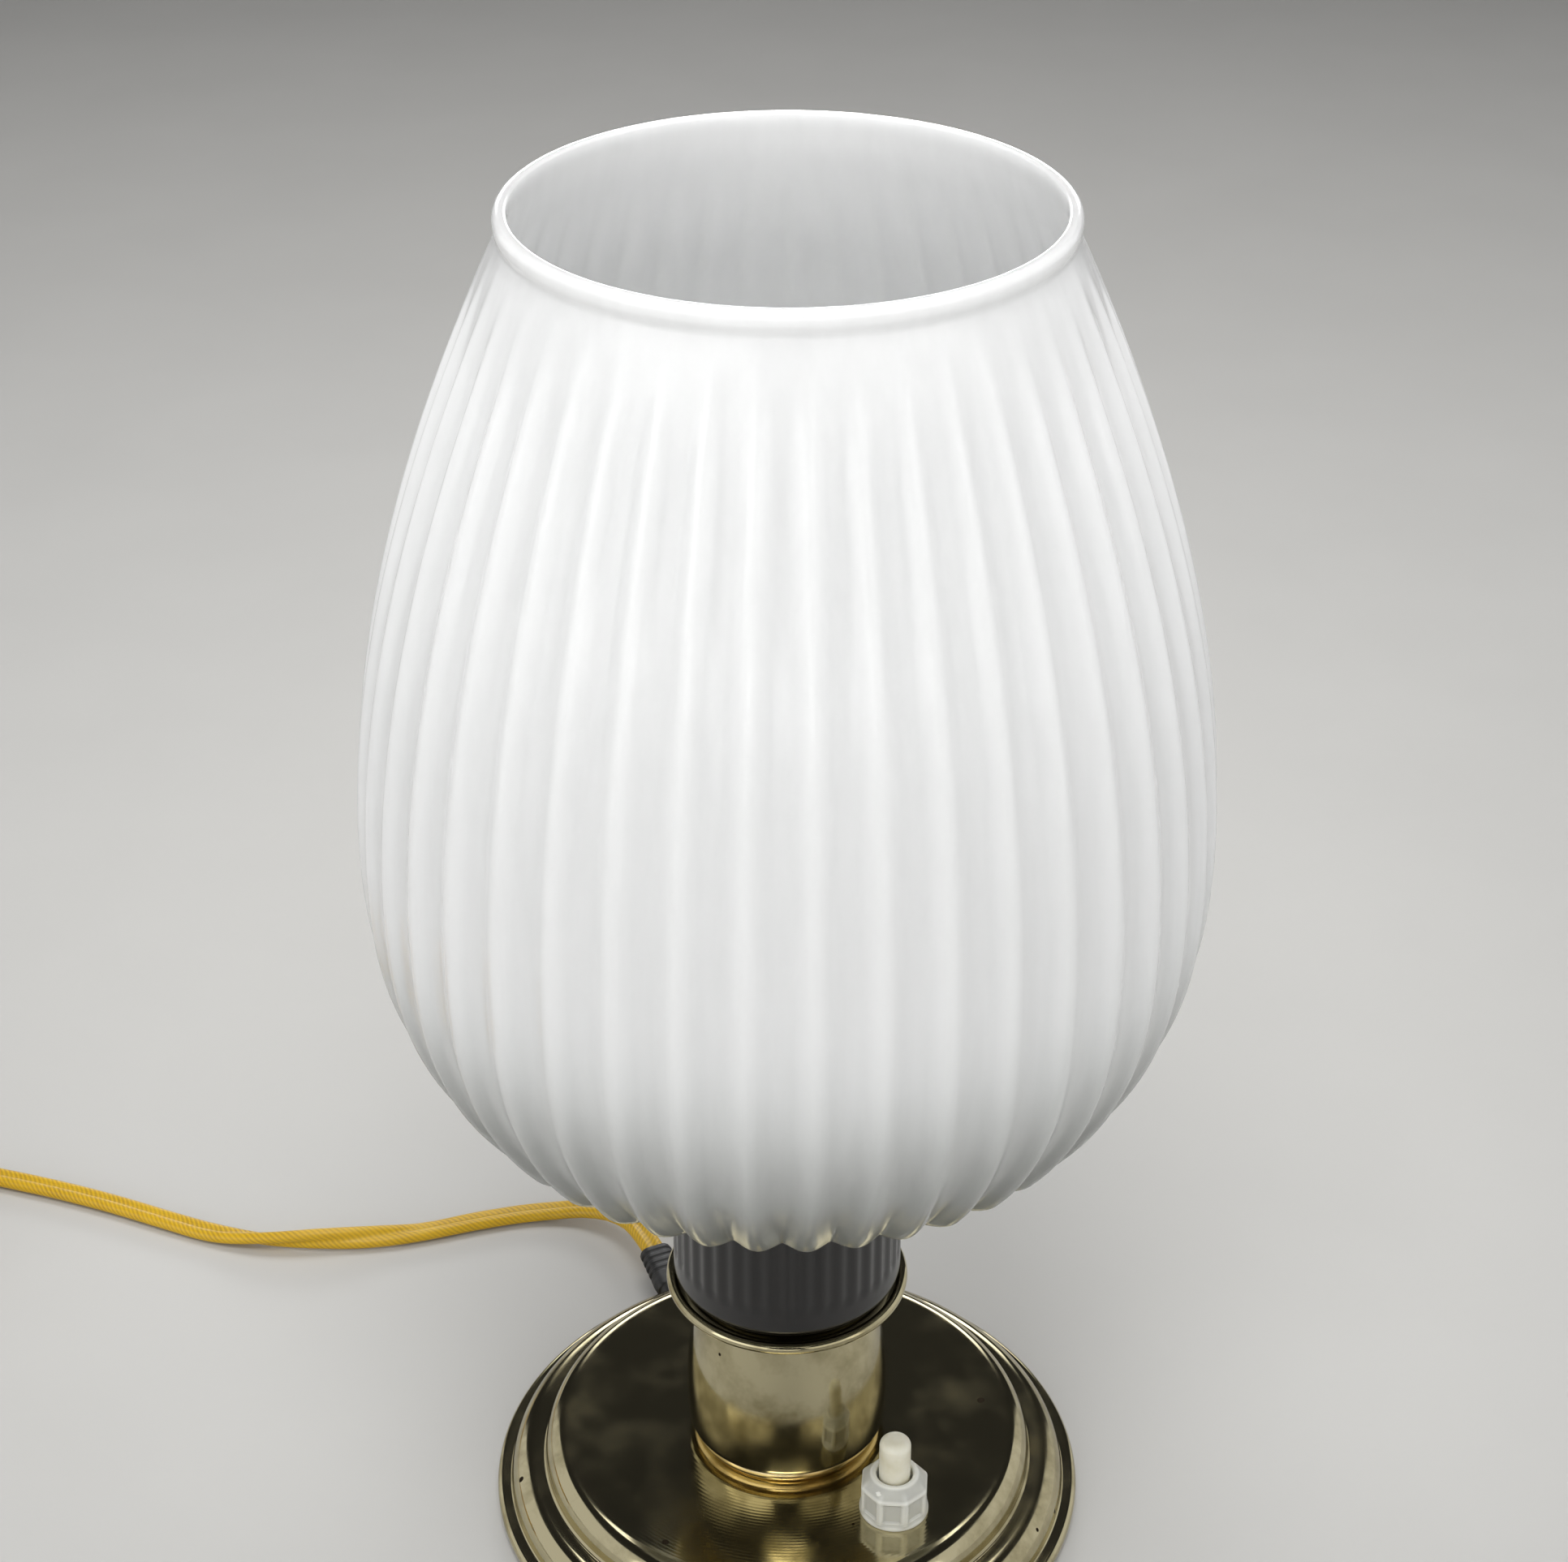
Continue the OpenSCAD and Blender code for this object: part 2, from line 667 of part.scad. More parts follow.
// Ribbed glass: four corners to a rib outside, two inside, with triangles between the rings
module glass_shade() {
    outer_n = 4 * rib_count;
    inner_n = 2 * rib_count;
    outer_rows = len(outside);
    inner_rows = len(inside);
    first_inner = outer_rows * outer_n;
    outer_points = [for (i = [0:outer_rows - 1], k = [0:outer_n - 1])
        let (n = outward(i), d = outside[i][2] * flute(k), a = rib_phase + 360 * k / outer_n)
        let (r = outside[i][0] - d * n[0])
        [r * cos(a), r * sin(a), outside[i][1] - d * n[1]]];
    inner_points = [for (p = inside, k = [0:inner_n - 1])
        let (a = rib_phase + 360 * k / inner_n)
        [p[0] * cos(a), p[0] * sin(a), p[1]]];
    outer_walls = [for (i = [0:outer_rows - 2], k = [0:outer_n - 1])
        let (a = i * outer_n + k, b = i * outer_n + (k + 1) % outer_n)
        each [[a, a + outer_n, b + outer_n], [a, b + outer_n, b]]];
    inner_walls = [for (i = [0:inner_rows - 2], k = [0:inner_n - 1])
        let (a = first_inner + i * inner_n + k, b = first_inner + i * inner_n + (k + 1) % inner_n)
        each [[a, a + inner_n, b + inner_n], [a, b + inner_n, b]]];
    // Two rings of different counts meet at the rim and in the hole
    rim_join = [for (j = [0:inner_n - 1])
        let (o = (outer_rows - 1) * outer_n, a = o + 2 * j, c = o + (2 * j + 2) % outer_n)
        let (p = first_inner + j, q = first_inner + (j + 1) % inner_n)
        each [[a, p, a + 1], [a + 1, p, q], [a + 1, q, c]]];
    hole_join = [for (j = [0:inner_n - 1])
        let (h = first_inner + (inner_rows - 1) * inner_n, p = h + j, q = h + (j + 1) % inner_n)
        let (a = 2 * j, c = (2 * j + 2) % outer_n)
        each [[p, a, a + 1], [p, a + 1, q], [q, a + 1, c]]];
    color(opal) polyhedron(
        concat(outer_points, inner_points),
        concat(outer_walls, inner_walls, rim_join, hole_join),
        convexity = 10
    );
}

// Side of the bulb from its cap to its top, drawn in by its wall for the inner side
function bulb_side(inset) =
    let (low = bulb_cap_top + inset, flare = bulb_flare + inset)
    let (start = 180 - asin(max(0, low - bulb_flare_z) / flare))
    concat(
        [if (bulb_flare_z > low) [bulb_neck_r - inset, low]],
        arc([bulb_flare_r, bulb_flare_z], flare, start, 180 - bulb_turn, 10),
        arc([0, bulb_c], bulb_r - inset, -bulb_turn, 90, 24)
    );

// Glass of the bulb, with its neck in the cap and an exhaust hole in the neck
module bulb_glass() {
    plug_r = bulb_cap_r - bulb_cap_t - fit;
    plug_bore = plug_r - bulb_wall;
    plug_floor = bulb_plug_z + bulb_wall;
    color([0.95, 0.95, 0.93]) rotate_extrude() difference() {
        polygon(concat([[0, bulb_plug_z], [plug_r, bulb_plug_z], [plug_r, bulb_cap_top]], bulb_side(0)));
        polygon(concat(
            [[0, bulb_plug_z - over], [exhaust_r, bulb_plug_z - over], [exhaust_r, plug_floor]],
            [[plug_bore, plug_floor], [plug_bore, bulb_cap_top + bulb_wall]],
            bulb_side(bulb_wall)
        ));
    }
}

module bulb_cap() {
    color(gold) rotate_extrude() difference() {
        translate([0, bulb_cap_z]) square([bulb_cap_r, bulb_cap_h]);
        translate([0, bulb_cap_z + bulb_cap_t]) square([bulb_cap_r - bulb_cap_t, bulb_cap_h]);
    }
}

module bulb_insulator() {
    color([0.1, 0.08, 0.1]) translate([0, 0, contact_z + tip_h])
        cylinder(r1 = tip_r + insulator_edge, r2 = bulb_cap_r - insulator_inset, h = insulator_h);
}

module bulb_contact() {
    color(steel) translate([0, 0, contact_z]) cylinder(r = tip_r, h = tip_h);
}

module at_switch() {
    translate([switch_pos[0], switch_pos[1], 0]) rotate([0, 0, switch_angle]) children();
}

// Switch body under the plate, with its threaded neck through it
module switch_body() {
    color(milk) at_switch() rotate_extrude() difference() {
        union() {
            translate([0, switch_bottom]) square([switch_r, weight_top - switch_bottom]);
            translate([0, weight_top - over]) square([neck_r_switch, neck_h + sheet_t + over]);
        }
        translate([0, chamber_z]) square([chamber_r, chamber_top - chamber_z]);
        translate([0, chamber_z]) square([button_bore, base_h + collar_h]);
    }
}

// Eight-sided collar nut with a bevelled top
module switch_collar() {
    half_w = collar_af / 2 / cos(22.5);
    slope = (collar_h - collar_side_h) / (half_w - collar_top_r);
    cone_r = half_w + over;
    color(milk) at_switch() difference() {
        intersection() {
            translate([0, 0, base_h]) rotate([0, 0, 22.5]) cylinder(r = half_w, h = collar_h + over, $fn = 8);
            rotate_extrude() polygon([
                [0, base_h - over], [cone_r, base_h - over], [cone_r, base_h + collar_side_h - slope * over],
                [collar_top_r, base_h + collar_h], [0, base_h + collar_h]
            ]);
        }
        translate([0, 0, base_h - over]) cylinder(r = neck_r_switch + sleeve_fit, h = neck_h + over);
        translate([0, 0, base_h]) cylinder(r = mouth_r, h = collar_h + over);
    }
}

// Push-button with a domed top and a flange that keeps it in
module switch_button() {
    dome_z = button_top - button_dome;
    color(milk) at_switch() rotate_extrude() {
        translate([0, button_flange_z]) square([button_flange_r, button_flange_t]);
        translate([0, button_flange_z]) square([button_r, dome_z - button_flange_z]);
        translate([0, dome_z]) square([button_r - button_dome, button_dome]);
        translate([button_r - button_dome, dome_z]) intersection() {
            circle(button_dome);
            square(button_dome);
        }
    }
}

// Coil spring under the button
spring_rings = 14;
spring_path = [for (i = [0:spring_turns * spring_rings])
    let (a = 360 * i / spring_rings)
    [spring_r * cos(a), spring_r * sin(a), spring_z + spring_h * i / (spring_turns * spring_rings)]];
spring_gap = spring_h / spring_turns - spring_wire;
echo("Least gap of the spring to itself in mm", spring_gap);
module switch_spring() {
    t = tangents(spring_path);
    color(steel) at_switch()
        tube(spring_path, level_sides(t), [for (p = spring_path) 0], [spring_wire, spring_wire], 6);
}

function tab_end(side) =
    let (a = switch_angle + 180 + side * tab_spread)
    switch_pos + (switch_r + tab_l) * [cos(a), sin(a)];
function tab_dir(side) = let (a = switch_angle + 180 + side * tab_spread) [cos(a), sin(a)];

module switch_terminals() {
    color(gold) at_switch() for (side = [-1, 1]) {
        rotate([0, 0, 180 + side * tab_spread]) translate([switch_r, -tab_w / 2, switch_bottom])
            cube([tab_l, tab_w, tab_t]);
    }
}

// Inner leads: they lie between the disc and the weight, and two of them climb the tube
lead_z = (floor_z + weight_z) / 2;
lead_off = 1.5;
tab_z = switch_bottom + tab_t / 2;
function from_bush(side) = [
    flat3(bush_in * bush_dir + side * lead_off * bush_side, bush_z),
    flat3((bush_in - 5) * bush_dir + side * lead_off * bush_side, mix(bush_z, lead_z, 0.4)),
    flat3((bush_in - 12) * bush_dir + side * 1.5 * lead_off * bush_side, lead_z)
];
function up_tube(side) = [
    [side * 2 * lead_off, -side * 0.2, lead_z + 0.2],
    [side * 1.2 * lead_off, 0, mix(lead_z, tube_bottom, 0.55)],
    [side * lead_off, 0, tube_bottom + 0.8],
    [side * lead_off, 0, tube_bottom + 6],
    [side * lead_off, 0, mix(tube_bottom, tube_top, 0.5)],
    [side * lead_off, 0, tube_top],
    [side * (lead_off + 0.6), 0, tube_top + 1.5],
    [side * (terminal_x / 2 + 0.6), 0, mix(tube_top, terminal_z, 0.45)],
    [side * (terminal_x - 1), 0, mix(tube_top, terminal_z, 0.68)],
    [side * terminal_x, 0, terminal_z - 1.2],
    [side * terminal_x, 0, terminal_z]
];

module lead(p, e0) {
    t = tangents(p);
    tube(p, carried_sides(t, e0), [for (q = p) 0], [lead_d, lead_d], 8);
}

module lead_neutral() {
    color([0.25, 0.4, 0.7]) lead(concat(
        from_bush(-1),
        [flat3(20 * bush_dir, lead_z), flat3(10 * bush_dir, lead_z), [-4.6, 3.4, lead_z]],
        up_tube(-1)
    ), up);
}

module lead_return() {
    color([0.45, 0.28, 0.16]) lead(concat(
        [
            flat3(tab_end(-1), tab_z),
            flat3(tab_end(-1) + 3 * tab_dir(-1), mix(tab_z, lead_z, 0.5)),
            flat3([tab_end(-1)[0] - 2, -3.5], lead_z),
            [14, 0.5, lead_z],
            [8, 0.6, lead_z]
        ],
        up_tube(1)
    ), up);
}

module lead_live() {
    color([0.45, 0.28, 0.16]) lead(concat(
        from_bush(1),
        [[-23, 16, lead_z], [-21, 4, lead_z], [-15, -8, lead_z], [-7, -16, lead_z]],
        [
            flat3(tab_end(1) + 5 * tab_dir(1), mix(tab_z, lead_z, 0.5)),
            flat3(tab_end(1), tab_z)
        ]
    ), up);
}

// Moulded bush with a tapered nose
module cord_bush() {
    nose_l = bush_end - bush_out;
    half = bush_shoulder / 2;
    tip = bush_tip / 2;
    color(milk) {
        along_bush(bush_in, bush_out) stadium(bush_w, bush_t);
        along_bush(bush_lip_at, bush_lip_at + bush_lip_t) stadium(bush_lip_w, bush_t);
        rotate([0, 0, cord_angle]) translate([bush_out, 0, nose_z]) intersection() {
            translate([0, 0, -half[1]]) linear_extrude(2 * half[1]) polygon([
                [0, -half[0]], [bush_shoulder_l, -half[0]], [nose_l, -tip[0]],
                [nose_l, tip[0]], [bush_shoulder_l, half[0]], [0, half[0]]
            ]);
            translate([0, half[0]]) rotate([90, 0, 0]) linear_extrude(2 * half[0]) polygon([
                [0, -half[1]], [bush_shoulder_l, -half[1]], [nose_l, -tip[1]],
                [nose_l, tip[1]], [bush_shoulder_l, half[1]], [0, half[1]]
            ]);
        }
    }
}

// The free stretch of the cord, from the bush to the coil
module cord() {
    p = concat(
        [flat3(cord_start, nose_z), flat3(cord_lead_out, nose_z)],
        cord_route,
        [flat3(coil_c + [0, coil_out], coil_z)]
    );
    color(gold) tube(p, level_sides(tangents(p)), concat([0, 0], cord_rolls, [270]),
        [cord_w, cord_t], 8, 0.5, 1 / cos(22.5));
}

// Radius and height of the coil after a number of turns
function coil_climb(t) = smooth((t - coil_turns - coil_climb_turns / 3) / (coil_climb_turns / 3));
function coil_radius(t) = t < coil_turns
    ? coil_out - coil_pitch * t
    : coil_in + coil_pitch * max(0, t - coil_turns - coil_climb_turns);
function coil_height(t) = coil_z + coil_layer * coil_climb(t);
function coil_point(t) = let (a = 90 + 360 * t)
    [coil_c[0] + coil_radius(t) * cos(a), coil_c[1] + coil_radius(t) * sin(a), coil_height(t)];
coil_steps = [for (i = [0:coil_total * coil_rings]) i / coil_rings];

// Gap between two places of the coil that lie one or more whole turns apart
function coil_clear(t, u) = max(
    abs(coil_radius(t) - coil_radius(u)) - cord_t,
    abs(coil_height(t) - coil_height(u)) - cord_w
);
coil_gap = min([for (t = coil_steps, n = [1:coil_total]) if (t + n <= coil_total) coil_clear(t, t + n)]);
echo("Least gap of the coil to itself in mm", coil_gap);

// The coil, one unbroken tube on edge, with the tail that runs to the plug
module cord_coil() {
    loops = [for (t = coil_steps) coil_point(t)];
    p = concat(loops, tail_route, [flat3(plug_at, plug_z)]);
    rolls = concat([for (t = loops) 90], [90, 75, 45, 10, 0]);
    color(gold) tube(p, level_sides(tangents(p)), rolls, [cord_w, cord_t], 6);
}

// Band round the turns of the coil
module coil_tie() {
    low = coil_in - cord_t / 2 - fit;
    wide = coil_out + cord_t / 2 + fit - low;
    high = coil_layer + cord_w + 2 * fit;
    color([0.15, 0.15, 0.15]) translate([coil_c[0], coil_c[1], 0]) rotate([0, 0, tie_angle])
        translate([low - tie_t, tie_w / 2, 0]) rotate([90, 0, 0]) linear_extrude(tie_w) difference() {
            square([wide + 2 * tie_t, high + 2 * tie_t]);
            translate([tie_t, tie_t]) square([wide, high]);
        }
}

module at_plug() {
    translate([plug_at[0], plug_at[1], plug_z]) rotate([0, 0, plug_angle]) children();
}

// Flat two-pin plug, drawn in towards the cord in both views
module plug_body() {
    waist = plug_neck / 2;
    cheek = waist[0] * plug_cheek;
    half = [plug_w, plug_h] / 2;
    face = plug_l - plug_face_l;
    color(milk) at_plug() intersection() {
        translate([0, 0, -half[1]]) linear_extrude(plug_h) polygon([
            [0, -waist[0]], [plug_face_l, -cheek], [face, -half[0]], [plug_l, -half[0]],
            [plug_l, half[0]], [face, half[0]], [plug_face_l, cheek], [0, waist[0]]
        ]);
        translate([0, half[0]]) rotate([90, 0, 0]) linear_extrude(plug_w) polygon([
            [0, -waist[1]], [face, -half[1]], [plug_l, -half[1]],
            [plug_l, half[1]], [face, half[1]], [0, waist[1]]
        ]);
    }
}

module plug_pins() {
    color(steel) at_plug() for (side = [-1, 1]) {
        translate([plug_l, side * pin_gap / 2, 0]) rotate([0, 90, 0]) {
            cylinder(d = pin_d, h = pin_l - pin_d / 2);
            translate([0, 0, pin_l - pin_d / 2]) sphere(d = pin_d);
        }
    }
}

base_shell();
base_weight();
bottom_disc();
felt_pad();
foot_ring();
stem_drum();
stem_cap();
threaded_tube();
tube_washer();
tube_nut();
holder_cap();
holder_body();
holder_insert();
holder_terminals();
screw_shell();
centre_contact();
gasket_lower();
gasket_upper();
shade_ring();
glass_shade();
bulb_glass();
bulb_cap();
bulb_insulator();
bulb_contact();
switch_body();
switch_collar();
switch_button();
switch_spring();
switch_terminals();
lead_live();
lead_return();
lead_neutral();
cord_bush();
cord();
cord_coil();
coil_tie();
plug_body();
plug_pins();
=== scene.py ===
"""Looks of a bedside lamp, built round its packed frame: ribbed opal glass on a polished stepped base.

Shapes are worked out in millimetres and scaled to metres when their meshes are made.
"""

import math

import bmesh
import bpy
from bpy.props import FloatProperty, FloatVectorProperty, IntProperty, PointerProperty
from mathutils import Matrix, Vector


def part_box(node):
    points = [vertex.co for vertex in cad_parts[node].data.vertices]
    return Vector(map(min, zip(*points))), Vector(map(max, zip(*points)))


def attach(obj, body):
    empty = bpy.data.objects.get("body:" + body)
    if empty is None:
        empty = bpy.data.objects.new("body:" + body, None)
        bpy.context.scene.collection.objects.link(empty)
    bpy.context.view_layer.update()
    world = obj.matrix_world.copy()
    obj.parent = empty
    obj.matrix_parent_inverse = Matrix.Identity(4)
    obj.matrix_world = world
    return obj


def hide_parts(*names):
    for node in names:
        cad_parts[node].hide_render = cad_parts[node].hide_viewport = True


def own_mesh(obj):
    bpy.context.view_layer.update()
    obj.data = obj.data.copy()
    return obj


bl_info = {
    "name": "Bedside Lamp",
    "version": (1, 0, 0),
    "blender": (4, 5, 0),
    "location": "View3D > Sidebar > Lamp",
    "description": "Dresses the packed bedside lamp with its glass, metal, plastic and cord",
    "category": "Object",
}

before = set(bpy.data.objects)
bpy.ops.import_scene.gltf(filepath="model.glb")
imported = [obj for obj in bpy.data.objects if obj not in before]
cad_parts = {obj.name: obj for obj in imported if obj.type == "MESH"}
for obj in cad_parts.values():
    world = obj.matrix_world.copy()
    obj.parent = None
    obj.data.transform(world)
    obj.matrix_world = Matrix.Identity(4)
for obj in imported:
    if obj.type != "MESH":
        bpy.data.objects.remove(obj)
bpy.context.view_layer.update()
MM = 0.001
LAMP = "lamp"
BUTTON = "button"
TURN = 2 * math.pi
ROUND = 256
NOISE_SPAN = (0.3, 0.7)  # Where most values of a noise lie
WAVE_RATE = 20  # Radians that the wave texture turns per unit
UP = Vector((0, 0, 1))


def to_linear(hex_value):
    """Linear RGBA of an sRGB hex colour."""
    parts = [int(hex_value[i:i + 2], 16) / 255 for i in (0, 2, 4)]
    linear = [c / 12.92 if c <= 0.04045 else ((c + 0.055) / 1.055) ** 2.4 for c in parts]
    return (*linear, 1.0)


def reach(node):
    """Radius, lowest and highest place of a round CAD node, in mm."""
    low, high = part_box(node)
    return (high.x - low.x) / 2 / MM, low.z / MM, high.z / MM


# Main sizes, taken from the frame
BASE_R, _, BASE_TOP = reach("base_shell")
FELT_R, FELT_LOW, FELT_TOP = reach("felt_pad")
RING_R, RING_LOW, RING_TOP = reach("foot_ring")
STEM_R, STEM_LOW, STEM_TOP = reach("stem_drum")
CAP_R, _, CAP_TOP = reach("stem_cap")
HOLDER_R, HOLDER_LOW, HOLDER_TOP = reach("holder_cap")
SEAT_R, SPIGOT_LOW, SKIRT_TOP = reach("holder_body")
CLAMP_R, CLAMP_LOW, CLAMP_TOP = reach("shade_ring")
_, GASKET_LOW, GLASS_LOW = reach("gasket_lower")
SHADE_R, _, GLASS_TOP = reach("glass_shade")
BULB_R, _, BULB_TOP = reach("bulb_glass")
BULB_NECK = reach("bulb_cap")[2]
_, BUTTON_LOW, BUTTON_TOP = reach("switch_button")
COLLAR_TOP = reach("switch_collar")[2]
SWITCH_AT = (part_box("switch_button")[0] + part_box("switch_button")[1]) / 2 / MM
SPRING_TURNS, SPRING_STEPS, SPRING_WIRE = 3, 24, 0.5
TUBE_HOLE = 5.1
SHEET = 0.9


def length(label, text, mm):
    """A length property, kept in metres."""
    return FloatProperty(name=label, description=text, default=mm * MM, min=0, precision=5, unit="LENGTH")


def power(label, text, watts):
    """A light's power property."""
    return FloatProperty(name=label, description=text, default=watts, min=0, unit="POWER")


def tint(label, text, hex_value):
    """A colour property."""
    return FloatVectorProperty(
        name=label, description=text, default=to_linear(hex_value), size=4, min=0, max=1, subtype="COLOR")


class LampGlass(bpy.types.PropertyGroup):
    """Sizes and tints of the glass."""
    ribs: IntProperty(name="Ribs", description="Number of ribs round the shade", default=43, min=8)
    rib_depth: length("Rib depth", "Depth of the flutes at half height", 1.4)
    foot_depth: length("Foot rib depth", "Depth of the flutes where the glass turns under", 1.9)
    wall: length("Wall", "Wall of the glass in the flutes", 2.2)
    white: tint("White", "Opal glass of the shade", "F7F8F8")
    # Painted shade: the grey that the glass darkens towards low on the outside, also taken by the faint streaks
    grey: tint("Grey", "Tone low on the outside of the shade", "666962")


class LampMetal(bpy.types.PropertyGroup):
    """Finishes of the turned and spun metal."""
    plate: tint("Plate", "Clean pale brass plating", "BDB493")
    stain: tint("Stain", "Plating dulled by handling", "786D49")
    gold: tint("Gold", "Polished ring under the stem", "F8E2AC")
    spin_pitch: length("Spinning lines", "Distance between the lines that the spinning left", 0.8)


class LampSwitch(bpy.types.PropertyGroup):
    """Sizes and tints of the switch."""
    collar_w: length("Collar width", "Width of the collar across its flats", 13.2)
    panel: length("Panel depth", "Depth of the panels in the sides of the collar", 0.35)
    milk: tint("Milk white", "Moulded plastic of the collar", "C9C9C0")
    ivory: tint("Ivory", "Moulded plastic of the button", "ECE9D9")


class LampCord(bpy.types.PropertyGroup):
    """Sizes and tints of the cord."""
    width: length("Width", "Width of the flat twin cord", 5.2)
    thickness: length("Thickness", "Thickness of the flat twin cord", 2.7)
    real_length: length("Length", "Length of the cord from the base to the plug", 1800)
    gold: tint("Gold", "Golden see-through sheath", "D6AD03")
    shade: tint("Shade", "Sheath over the dark strands", "8F6A08")


class LampStage(bpy.types.PropertyGroup):
    """Floor, light and camera."""
    floor: tint("Floor", "Plain pale floor", "C9C8C5")
    key_power: power("Key light", "Softbox in front on the left", 5.3)
    fill_power: power("Fill light", "Softbox in front on the right", 3.8)
    top_power: power("Top light", "Gridded softbox over the mouth of the shade", 0.56)
    over_power: power("Floor light", "Softbox over the floor behind", 3.2)
    back_power: power("Back light", "Gridded panel behind, which shines through the glass", 0.75)
    strip_power: power("Front strip", "Low strip in front, which the gold ring mirrors", 1.3)
    side_power: power("Side lights", "Each of the two side panels", 3.4)
    surround: FloatProperty(name="Surround", description="Brightness of the room", default=0.025, min=0)
    lens: FloatProperty(name="Lens", description="Focal length for a 36 mm wide sensor", default=67.585, unit="CAMERA")


def add_node(tree, kind, settings=None, inputs=None):
    """Adds one node: settings are attributes, inputs are values or outputs to link."""
    node = tree.nodes.new("ShaderNode" + kind)
    for name, value in (settings or {}).items():
        setattr(node, name, value)
    for name, value in (inputs or {}).items():
        socket = node.inputs[name]
        if isinstance(value, bpy.types.NodeSocket):
            tree.links.new(value, socket)
        else:
            socket.default_value = value
    return node


def per_metre(mm):
    """Scale of a pattern whose features are mm wide."""
    return 1 / (mm * MM)


def new_material(name, inputs):
    """A material with one shader; returns it with its tree, shader and place in the object's own metres."""
    material = bpy.data.materials.new(name)
    material.use_nodes = True
    tree = material.node_tree
    tree.nodes.clear()
    shader = add_node(tree, "BsdfPrincipled", None, inputs)
    add_node(tree, "OutputMaterial", None, {"Surface": shader.outputs["BSDF"]})
    place = add_node(tree, "TexCoord").outputs["Object"]
    return material, tree, shader, place


def blend_colours(tree, factor, first, second):
    """Output of a colour between two, by a factor."""
    mixed = add_node(tree, "Mix", {"data_type": "RGBA"}, {0: factor, 6: first, 7: second})
    return mixed.outputs[2]


def noise(tree, place, mm, detail=2.0, rough=0.5):
    """Output of a noise whose features are mm wide."""
    return add_node(tree, "TexNoise", None, {
        "Vector": place, "Scale": per_metre(mm), "Detail": detail, "Roughness": rough}).outputs[0]


def ranged(tree, value, low, high, span=(0.0, 1.0), kind="LINEAR"):
    """Output that goes from low to high over a span of a value."""
    return add_node(tree, "MapRange", {"interpolation_type": kind}, {
        "Value": value, "From Min": span[0], "From Max": span[1], "To Min": low, "To Max": high}).outputs[0]


def ramp(tree, value, low, high):
    """Output that rises from 0 to 1 between two levels of a value."""
    node = add_node(tree, "ValToRGB", None, {"Fac": value})
    for stop, place in zip(node.color_ramp.elements, (low, high)):
        stop.position = place
    return node.outputs[0]


def worked(tree, operation, *values, clamp=False):
    """Output of a calculation with values."""
    settings = {"operation": operation, "use_clamp": clamp}
    return add_node(tree, "Math", settings, dict(enumerate(values))).outputs[0]


def bump(tree, height, strength, mm, invert=False, over=None):
    """Output of the normal over bumps of a height in mm, which may lie over other bumps."""
    inputs = {"Height": height, "Strength": strength, "Distance": mm * MM}
    if over:
        inputs["Normal"] = over
    return add_node(tree, "Bump", {"invert": invert}, inputs).outputs[0]


def connect(tree, shader, links):
    """Links outputs to the shader's sockets by their names."""
    for name, output in links.items():
        tree.links.new(output, shader.inputs[name])


def grained(name, dark, pale, grain, rough, relief, stretch, inputs):
    """A material with a fine two-tone grain, given by its two hex colours, grain in mm, least and most
    roughness and relief in mm; stretch squeezes the grain along an axis."""
    material, tree, shader, place = new_material(name, inputs)
    place = add_node(tree, "Mapping", None, {"Vector": place, "Scale": stretch}).outputs[0]
    grit = noise(tree, place, grain, 4.0, 0.6)
    connect(tree, shader, {
        "Base Color": blend_colours(tree, ramp(tree, grit, 0.32, 0.68), to_linear(dark), to_linear(pale)),
        "Roughness": ranged(tree, grit, *rough, NOISE_SPAN),
        "Normal": bump(tree, grit, 0.6, relief)})
    return material


def opal_glass(props):
    """Opal soda-lime glass, blown in a ribbed mould."""
    # Light sinks in and comes back white and even, under a glossy skin that the mould left a little wavy.
    # Faint streaks follow the ribs. Low on the outside a greyer tone, set after the photograph, is painted shade.
    material, tree, shader, place = new_material("Opal_glass_mould_blown", {
        "IOR": 1.5, "Subsurface Weight": 1.0, "Subsurface Scale": 0.007})
    height = add_node(tree, "SeparateXYZ", None, {0: place}).outputs[2]
    face = add_node(tree, "NewGeometry").outputs["True Normal"]
    arm = add_node(tree, "VectorMath", {"operation": "SUBTRACT"}, {
        0: place, 1: (0, 0, GLASS_MIDDLE * MM)}).outputs[0]
    outwards = add_node(tree, "VectorMath", {"operation": "DOT_PRODUCT"}, {0: arm, 1: face}).outputs["Value"]
    outside = worked(tree, "GREATER_THAN", outwards, 0.0)
    # Painted shade: a mask that greys the outside of the glass towards its foot
    low = worked(tree, "MULTIPLY", outside, ranged(
        tree, height, 0.0, PAINTED_SHADE_MOST, (PAINTED_SHADE_TOP * MM, PAINTED_SHADE_LOW * MM), "SMOOTHSTEP"))
    along = add_node(tree, "Mapping", None, {"Vector": place, "Scale": (1, 1, 0.06)}).outputs[0]
    cloud = noise(tree, place, 35)
    streaks = worked(tree, "MULTIPLY", noise(tree, along, 4, 3.0), cloud)
    # The real faint streaks, with the painted shade low on the outside added to them
    grey = worked(tree, "MULTIPLY_ADD", streaks, 0.2, low)
    rim = ranged(tree, height, 0.0, 1.0, (NECK_Z * MM, (NECK_Z + 2) * MM))
    gloss = ranged(tree, cloud, 0.16, 0.25, NOISE_SPAN)
    connect(tree, shader, {
        "Base Color": blend_colours(tree, grey, tuple(props.white), tuple(props.grey)),
        # The painted shade also shortens the glow in the glass low on the outside
        "Subsurface Radius": ranged(tree, low, 1.0, 0.25),
        "Roughness": add_node(tree, "Mix", None, {0: rim, 2: gloss, 3: 0.07}).outputs[0],
        "Normal": bump(tree, noise(tree, place, 9, 1.0), 0.3, 0.2)})
    return material


